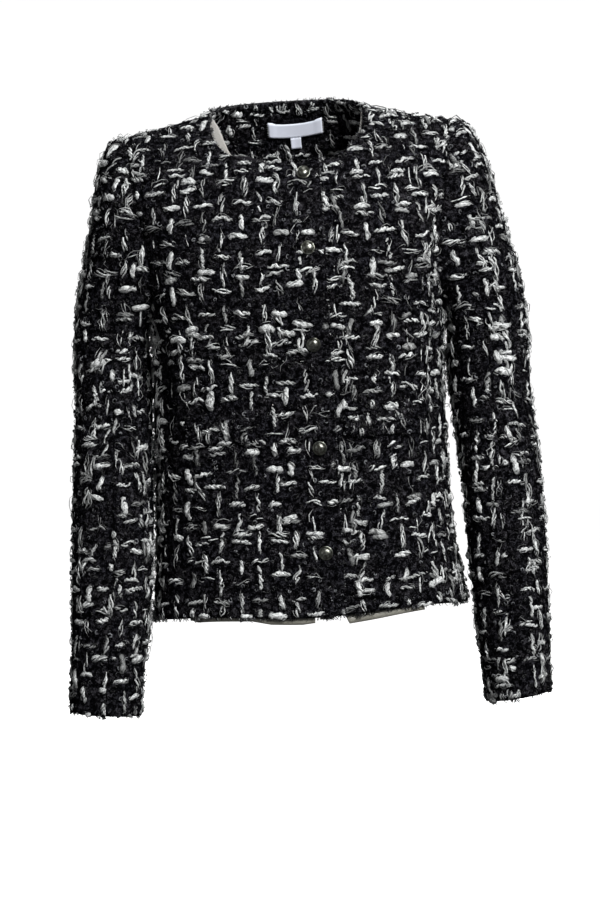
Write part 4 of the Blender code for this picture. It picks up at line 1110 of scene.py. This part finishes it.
under_label = on_facing(*LABEL_SIZE, LABEL_TOP, 28, 8)
under_tab = on_facing(*TAB_SIZE, TAB_TOP, 8, 6)
sewn_on = [zone_under(at(facing[2], *under), at(facing[3], *under), LABEL_BARE)
           for under in (under_label, under_tab)]
yarn = [white_floats("neck_facing_back", facing, 71, None, sewn_on),
        black_loops("neck_facing_back", facing, FACING_LOOPS, 72, sewn_on)]

# ------------------------------------------------------------------ label and size tab
# A woven satin label, 57 by 13.5 mm, with both ends folded under and sewn down, and below it a size tab,
# 11 mm square, with its top turned in. Both are plain white and carry nothing.
RIBBON_WALL = 0.0009
FOLD_SHARE, FOLD_EXTRA = 0.13, 0.0004
STITCH_LENGTH, STITCH_RADIUS, STITCH_LIFT, STITCH_RISE = 0.0024, 0.00022, 0.0022, 0.0004


def woven_label(name, under, size, lift, wave):
    """A plate over the facing: lift plus a gentle wave, and a raised double layer at both folded ends."""
    i, j = under
    out = unit(at(facing_out, i, j))
    v, u = np.meshgrid(np.linspace(0, 1, i.shape[0]), np.linspace(0, 1, i.shape[1]), indexing="ij")
    fold = ramp((np.abs(2 * u - 1) - (1 - 2 * FOLD_SHARE)) / 0.05)
    height = lift + wave * np.sin(2.5 * np.pi * u + 1.0) * (0.4 + 0.6 * v) + FOLD_EXTRA * fold
    near = at(facing_far, i, j) + out * height[..., None]
    piece = closed_sheet(name + "_woven", near + out * RIBBON_WALL, near, u * size[0], -v * size[1])
    return dress(piece, "label_cloth", LABEL, LABEL, instead_of=name)


def label_satin():
    """White satin weave: fine close lines across, a trace of blue, softly shining."""
    mat, shader = new_material("label_satin", Roughness=0.50, Specular_IOR_Level=0.45)
    place = cloth_place(mat)
    lines = node(mat, "TexWave", {"Vector": place, "Scale": 1300.0, "Distortion": 0.3},
                 wave_type="BANDS", bands_direction="Y").outputs["Fac"]
    clouded = plus_share(mat, lines, 0.35, noise(mat, place, 160.0))
    feed(shader, {"Base Color": tint(mat, clouded, (0.0, 0.61, 0.64, 0.73), (1.0, 0.66, 0.69, 0.78))})
    raise_by(mat, shader, lines, 0.3, 0.0001)
    return mat


LABEL = label_satin()
label = woven_label("label", under_label, LABEL_SIZE, 0.0014, 0.00035)
tab = woven_label("size_tab", under_tab, TAB_SIZE, 0.0013, 0.0002)


def stitches(name, i, j, way, seed):
    """Short thread tubes over the facing at rows and columns; each leaves and enters it in an arc."""
    random = np.random.default_rng(seed)
    out = unit(at(facing_out, i, j))
    x = np.linspace(-1, 1, 5)[None]
    way = way + random.normal(0, 0.12, (len(i), 3))
    along = unit(way - out * dot(way, out))
    lift = STITCH_LIFT + STITCH_RISE * (1 - x ** 2) + 0 * i[:, None]
    path = (at(facing_far, i, j)[:, None] + along[:, None] * (0.5 * STITCH_LENGTH * x)[..., None]
            + out[:, None] * lift[..., None])
    made = tubes(path, np.broadcast_to(out[:, None], path.shape), np.full(path.shape[:2], STITCH_RADIUS), 4,
                 np.full(len(i), STITCH_LENGTH))
    return add_mesh(name, *made, np.full(len(made[0]), 0.9))


# two rows of whipping stitches fix the label's ends and three stitches fix the tab's top
down_end, along_top, knots = np.linspace(0.06, 0.94, 8), (0.15, 0.5, 0.85), np.linspace(0, 1, 9)
stitch_i, stitch_j = [
    np.concatenate([np.interp(down_end, knots, on_label[:, 0]), np.interp(down_end, knots, on_label[:, -1]),
                    np.interp(along_top, knots, on_tab[0])])
    for on_label, on_tab in zip(under_label, under_tab)]
label_thread = stitches("label_stitches", stitch_i, stitch_j, np.array([1.0, 0.0, 0.25]), 73)
dress(label_thread, "label_cloth", SLUB)

# ------------------------------------------------------------------ neck strips and bands
# Inside the neck edge a cream twill strip faces each side neck, and a dark ribbed band runs on from it to the
# closing. They are narrow and cut straight, so that 1 to 10 mm of them peeks out past the curved, raw tweed.
# which front, degrees round from, to, steps along, then shares along the strip and how far it peeks out there
NECK_STRIPS = {
    "neck_strip_right": ("right", 4.0, 48.0, 36, (0.0, 0.25, 0.5, 0.75, 1.0),
                         (0.0030, 0.0082, 0.0098, 0.0078, 0.0020)),
    "neck_strip_left": ("left", 6.0, 40.0, 26, (0.0, 0.4, 1.0), (0.0012, 0.0020, 0.0010)),
    "neck_band_right": ("right", 49.5, 80.0, 30, (0.0, 0.3, 0.7, 1.0), (0.0035, 0.0068, 0.0040, 0.0005)),
    "neck_band_left": ("left", 41.5, 78.0, 30, (0.0, 0.4, 1.0), (0.0010, 0.0014, 0.0002)),
}
STRIP_DEEP, STRIP_EDGE, STRIP_FREE = 0.51, 0.06, 0.0015
STRIP_FOLD = (0, 0, 0, 0, 0, 0, 0.10, 0.22, 0.30)
ROUNDED = 0.3
CREAM = satin("cream_twill", (0.20, 0.193, 0.180), (0.33, 0.320, 0.302), 0.62, 1500.0, 0.1)
BAND = satin("dark_ribbed_band", (0.003, 0.0025, 0.0035), (0.010, 0.009, 0.012), 0.6, 900.0, 0.1)


def neck_ribbon(name, side, turn_from, turn_to, columns, shares, peeks):
    """A strip that hugs the wall's inside from STRIP_DEEP to STRIP_EDGE levels below the neck and then runs
    straight on past the edge; the free edge is folded, so it is rounded and slightly thicker."""
    outer, inner = fronts["front_" + side][:2]
    sign = -1.0 if side == "right" else 1.0
    neck = outer[0]
    turn = np.degrees(np.arctan2(-neck[:, 1] / BODY_RINGS[0, FRONT_DEPTH],
                                 sign * neck[:, 0] / BODY_RINGS[0, HALF_WIDTH]))
    order = np.argsort(turn)
    j = np.interp(np.linspace(turn_from, turn_to, columns + 1), turn[order], np.arange(len(turn))[order])
    per_level = SHOULDER_ROWS / TIP
    deep = np.linspace(STRIP_DEEP, STRIP_EDGE, 5)[:, None] * per_level + 0 * j
    out = outward(outer, inner, 0 * j, j)
    hugging = at(inner, deep, j + 0 * deep)
    rise = unit(inner[0] - at(inner, np.full(len(neck), 0.3 * per_level), np.arange(len(neck))))
    rise = unit(at(rise[None].repeat(2, 0), 0 * j, j))
    reach = STRIP_FREE + np.interp(np.linspace(0, 1, columns + 1), shares, peeks)
    past = np.linspace(0, 1, 5)[1:, None] * reach
    near = np.concatenate([hugging, hugging[-1] + rise * past[..., None]]) - out * SEAM_GAP
    far = near - out * RIBBON_WALL * (1 + np.array(STRIP_FOLD)[:, None, None])
    near[-1] = (1 - ROUNDED) * near[-1] + ROUNDED * far[-1]
    far[-1] = (1 - ROUNDED) * far[-1] + ROUNDED * near[-1]
    run = run_along(near[4])
    climb = np.concatenate([np.linspace(0, 0.010, 5)[:, None] + 0 * run, 0.010 + past])
    return closed_sheet(name + "_ribbon", near, far, run + 0 * climb, climb), run[-1]


for name, strip in NECK_STRIPS.items():
    ribbon, length = neck_ribbon(name, *strip)
    cloth, slot = (CREAM, "neck_strip") if "strip" in name else (BAND, "neck_band")
    dress(ribbon, slot, cloth, cloth, instead_of=name)

# ------------------------------------------------------------------ hem satin
# A bias strip of olive-grey satin faces the inside of each front's hem. Its folded edge hangs 1 to 8 mm below
# the raw tweed, puckered by the stitching, and the left one ends in a straight cut.
# x from, x to, steps along, then shares along the strip and how far it hangs down there
HEM_STRIPS = {
    "right": (0.0005, 0.124, 60, (0.0, 0.10, 0.35, 0.50, 0.94, 1.0),
              (0.0050, 0.0062, 0.0058, 0.0030, 0.0045, 0.0015)),
    "left": (0.0040, 0.108, 80, (0.0, 0.10, 0.13, 0.24, 0.27, 0.55, 1.0),
             (0.0020, 0.0020, -0.0008, -0.0008, 0.0085, 0.0072, 0.0046)),
}
HEM_DEEP, HEM_CUT = 0.017, 0.0240
PUCKER = 0.0003
OLIVE = satin("olive_satin", (0.115, 0.110, 0.092), (0.230, 0.224, 0.192), 0.36, 1100.0)


def hem_strip(side, x_from, x_to, columns, shares, drops):
    """A strip over the wall's inside from HEM_DEEP above the hem, which falls straight on past it. The pucker
    is a running mean of a normal draw for each column, towards the free edge."""
    outer, inner = fronts["front_" + side][:2]
    random = np.random.default_rng(80)
    hem_x = (-1.0 if side == "right" else 1.0) * inner[-1, :, 0]
    order = np.argsort(hem_x)
    j = np.interp(np.linspace(x_from, x_to, columns + 1), hem_x[order], np.arange(len(hem_x))[order])
    last = np.full(len(j), len(inner) - 1.0)
    foot = at(inner, last, j)
    fall = unit(foot - at(inner, last - 1.0, j))
    out = outward(outer, inner, last, j)
    v = np.linspace(0, 1, 9)[:, None]
    down = -HEM_DEEP + v * (HEM_DEEP + np.interp(np.linspace(0, 1, columns + 1), shares, drops))
    pucker = PUCKER * np.convolve(random.normal(0, 1, columns + 3), (0.3, 0.4, 0.3), "valid")
    pucker = pucker * ramp((v - 0.55) / 0.3)
    near = foot + fall * down[..., None] + out * (pucker - SEAM_GAP)[..., None]
    far = near - out * FACING_WALL
    near[-1], far[-1] = ((1 - ROUNDED) * near[-1] + ROUNDED * far[-1],
                         ROUNDED * near[-1] + (1 - ROUNDED) * far[-1])
    run = run_along(foot)
    return closed_sheet("hem_satin_%s_strip" % side, near, far, run + 0 * down, -down), run[-1]


for side, strip in HEM_STRIPS.items():
    satin_strip, length = hem_strip(side, *strip)
    dress(satin_strip, "hem_satin", OLIVE, OLIVE, instead_of="hem_satin_" + side)

# ------------------------------------------------------------------ frayed edges
# Neck, front edge, hem and cuffs are raw. Cut ends of the black yarn stand out of them by 1 to 4 mm, here and
# there in a tuft, and every twelfth end is white.
# name, reach, ends per metre, seed
HEM_FRAY, NECK_FRAY = ("hem_fray", 0.0032, 760, 90), ("neck_fray", 0.0025, 800, 91)
EDGE_FRAY, CUFF_FRAY = ("front_edge_fray", 0.0016, 700, 92), ("cuff_fray", 0.0032, 760, 93)
FRAY_ROOT, FRAY_THICK, FRAY_THROUGH = 0.0012, (0.00030, 0.00055), (-0.0022, 0.0004)
TUFTS_PER_METRE, IN_TUFTS, TUFT_WIDTH, TUFT_LONGER = 22, 0.40, 0.0016, 1.45
FRAY_LEAN, FRAY_OFF, WHITE_ENDS = 0.55, 0.35, 1.0 / 12.0
FRAY_POINTS = 5


def frayed_ends(name, reach, per_metre, seed, edges):
    """Short curved tubes along edges, each given as (points, way out of the cloth's edge, cloth normal).

    An end leans by a random angle either way, curls as x^2, and is longer and closer to others in a tuft."""
    random = np.random.default_rng(seed)
    black, white = [], []
    for points, way, normal in edges:
        run = run_along(points)
        count = int(run[-1] * per_metre)
        one = (count, 1)
        tufts = random.uniform(0, run[-1], max(2, int(run[-1] * TUFTS_PER_METRE)))
        in_tuft = random.random(count) < IN_TUFTS
        place = np.where(in_tuft, random.choice(tufts, count) + random.normal(0, TUFT_WIDTH, count),
                         random.uniform(0, run[-1], count))
        spot = np.interp(np.clip(place, 0, run[-1]), run, np.arange(len(run)))
        root, outwards, face = [at(np.stack([field, field]), 0 * spot, spot)
                                for field in (points, way, normal)]
        side = np.cross(outwards, face)
        length = reach * random.uniform(0.35, 1.0, one) * np.where(in_tuft, TUFT_LONGER, 1.0)[:, None]
        lean, curl = random.normal(0, FRAY_LEAN, (2, count, 1))
        off = random.normal(0, FRAY_OFF, one)
        x = np.linspace(0, 1, FRAY_POINTS)[None, :, None]
        through = random.uniform(*FRAY_THROUGH, one)
        path = ((root - FRAY_ROOT * outwards + face * through)[:, None]
                + outwards[:, None] * (x * (length + FRAY_ROOT)[:, None])
                + (side * lean * length)[:, None] * x
                + (side * curl * length)[:, None] * x ** 2
                + (face * off * length)[:, None] * x ** 2)
        radius = random.uniform(*FRAY_THICK, one) * np.linspace(1.0, 0.7, FRAY_POINTS)
        pale = random.random(count) < WHITE_ENDS
        tone = random.random(count)
        normals = np.broadcast_to(face[:, None], path.shape)
        for own, into in ((~pale, black), (pale, white)):
            made = tubes(path[own], normals[own], radius[own], 3, length[own][:, 0])
            into.append((*made, np.repeat(tone[own], FRAY_POINTS * 3)))
    *made, tone = joined(black)
    dress(add_mesh(name + "_black", *made, tone), "tweed", LOOPS)
    *made, tone = joined(white)
    dress(add_mesh(name + "_white", *made, 0.6 + 0.4 * tone), "tweed", SLUB)


def rim_of(panel, edge, inwards):
    """Points, way out of the cloth and normal along a panel's edge; the way starts at the line inwards."""
    outer, inner = panel[:2]
    return outer[edge], unit(outer[edge] - outer[inwards]), unit(outer - inner)[edge]


FIRST_ROW, LAST_ROW, LAST_COLUMN = (0, 2), (-1, -3), (np.s_[:, -1], np.s_[:, -3])
panels = (back, *fronts.values())
frayed_ends(*HEM_FRAY, [rim_of(panel, *LAST_ROW) for panel in panels])
frayed_ends(*NECK_FRAY, [rim_of(panel, *FIRST_ROW) for panel in panels])
frayed_ends(*EDGE_FRAY, [rim_of(fronts["front_right"], *LAST_COLUMN)])
frayed_ends(*CUFF_FRAY, [rim_of(sleeve, *LAST_ROW) for sleeve in sleeves])

# ------------------------------------------------------------------ studio
# A pale floor, a white surround far off that only the camera sees, and five large soft lights: a strong one
# high in front on the right, weak ones left and right, one overhead and one behind.
FLOOR_Z = -0.80
FLOOR_RINGS = [(r, 0.0) for r in (0.001, 0.5, 1.0, 2.0, 4.0, 7.9)]
BOWL_RINGS = [(8.0 * np.cos(a), 8.0 * np.sin(a)) for a in np.radians(np.linspace(89.9, -30, 14))]
STUDIO_SIDES = 48
WORLD_LIGHT = 0.16
AIM = np.array((0.0, 0.0, -0.30))
# name, place, size, watts
LAMPS = (
    ("key", (1.5, -2.5, 1.45), 1.2, 196.0),
    ("left", (-1.6, -1.4, 0.3), 1.8, 4.0),
    ("right", (1.9, -0.6, 0.6), 1.2, 4.0),
    ("top", (0.2, -0.3, 2.1), 0.9, 9.0),
    ("behind", (0.4, 2.3, 1.1), 1.2, 95.0),
)


def disc(name, rings, **values):
    """A flat disc, or a bowl where a ring has a height: rings of points given as radius and height."""
    turn = 2 * np.pi * np.arange(STUDIO_SIDES) / STUDIO_SIDES
    points = [np.stack([r * np.cos(turn), r * np.sin(turn), 0 * turn + FLOOR_Z + h], -1) for r, h in rings]
    faces = cells_round(len(rings), STUDIO_SIDES)[:, [0, 3, 2, 1]]
    mesh = bpy.data.meshes.new(name)
    mesh.from_pydata(np.concatenate(points).tolist(), [], faces.tolist())
    mesh.shade_smooth()
    piece = bpy.data.objects.new(name, mesh)
    bpy.context.scene.collection.objects.link(piece)
    mat, shader = new_material(name, Emission_Color=(1.0, 1.0, 1.0, 1.0), **values)
    mesh.materials.append(mat)
    piece.visible_diffuse = piece.visible_glossy = False
    return piece, mat, shader


def stand_up(name, data, across, up, behind, place):
    """A lamp or the camera with its three own axes and its place as the columns of its matrix."""
    thing = bpy.data.objects.new(name, data)
    bpy.context.scene.collection.objects.link(thing)
    thing.matrix_world = Matrix([*np.stack([across, up, behind, place], 1).tolist(), (0, 0, 0, 1)])
    return thing


# the floor glows a little near the jacket, where the lights fall, and fully further off
floor_mat, floor_shader = disc("studio_floor", FLOOR_RINGS, Base_Color=(0.72, 0.72, 0.72, 1.0),
                               Roughness=0.9, Specular_IOR_Level=0.0)[1:]
place = node(floor_mat, "TexCoord", {}).outputs["Object"]
level_place = node(floor_mat, "VectorMath", {0: place, 1: (1.0, 1.0, 0.0)}, operation="MULTIPLY").outputs[0]
distance = node(floor_mat, "VectorMath", {0: level_place}, operation="LENGTH").outputs["Value"]
glow = node(floor_mat, "MapRange",
            {"Value": distance, "From Min": 0.3, "From Max": 2.2, "To Min": 0.45, "To Max": 1.0})
feed(floor_shader, {"Emission Strength": glow.outputs["Result"]})
surround = disc("studio_surround", BOWL_RINGS, Base_Color=(0.0, 0.0, 0.0, 1.0), Emission_Strength=1.0)[0]
surround.visible_shadow = False

for name, place, size, watts in LAMPS:
    light = bpy.data.lights.new(name, "AREA")
    light.shape = "SQUARE"
    light.size = size
    light.energy = watts
    behind = unit(np.array(place) - AIM)
    across = unit(np.cross(UPWARDS, behind))
    stand_up(name, light, across, np.cross(behind, across), behind, place).visible_camera = False

world = bpy.data.worlds.new("studio")
bpy.context.scene.world = world
world.use_nodes = True
sky = world.node_tree.nodes["Background"]
feed(sky, {"Color": (1.0, 1.0, 1.0, 1.0), "Strength": WORLD_LIGHT})
bpy.context.scene.view_settings.view_transform = "Standard"

# the camera stands level with the jacket's middle, 2.6 m in front, and leans by 3.4 degrees
DISTANCE = 2.6
ROLL = np.radians(3.4)
PIXEL = 0.00102
PICTURE_WIDTH, PICTURE_HEIGHT = 600, 900
ORIGIN_PIXEL = (285.5, 110.0)
SENSOR = 36.0
lens = bpy.data.cameras.new("camera")
lens.sensor_fit = "HORIZONTAL"
lens.sensor_width = SENSOR
lens.lens = SENSOR * DISTANCE / (PICTURE_WIDTH * PIXEL)
across = np.array([np.cos(ROLL), 0.0, -np.sin(ROLL)])
up = np.array([np.sin(ROLL), 0.0, np.cos(ROLL)])
off_x = (0.5 * PICTURE_WIDTH - ORIGIN_PIXEL[0]) * PIXEL
off_y = (ORIGIN_PIXEL[1] - 0.5 * PICTURE_HEIGHT) * PIXEL
behind = np.array([0.0, -1.0, 0.0])
camera = stand_up("camera", lens, across, up, behind, across * off_x + up * off_y + behind * DISTANCE)
bpy.context.scene.camera = camera
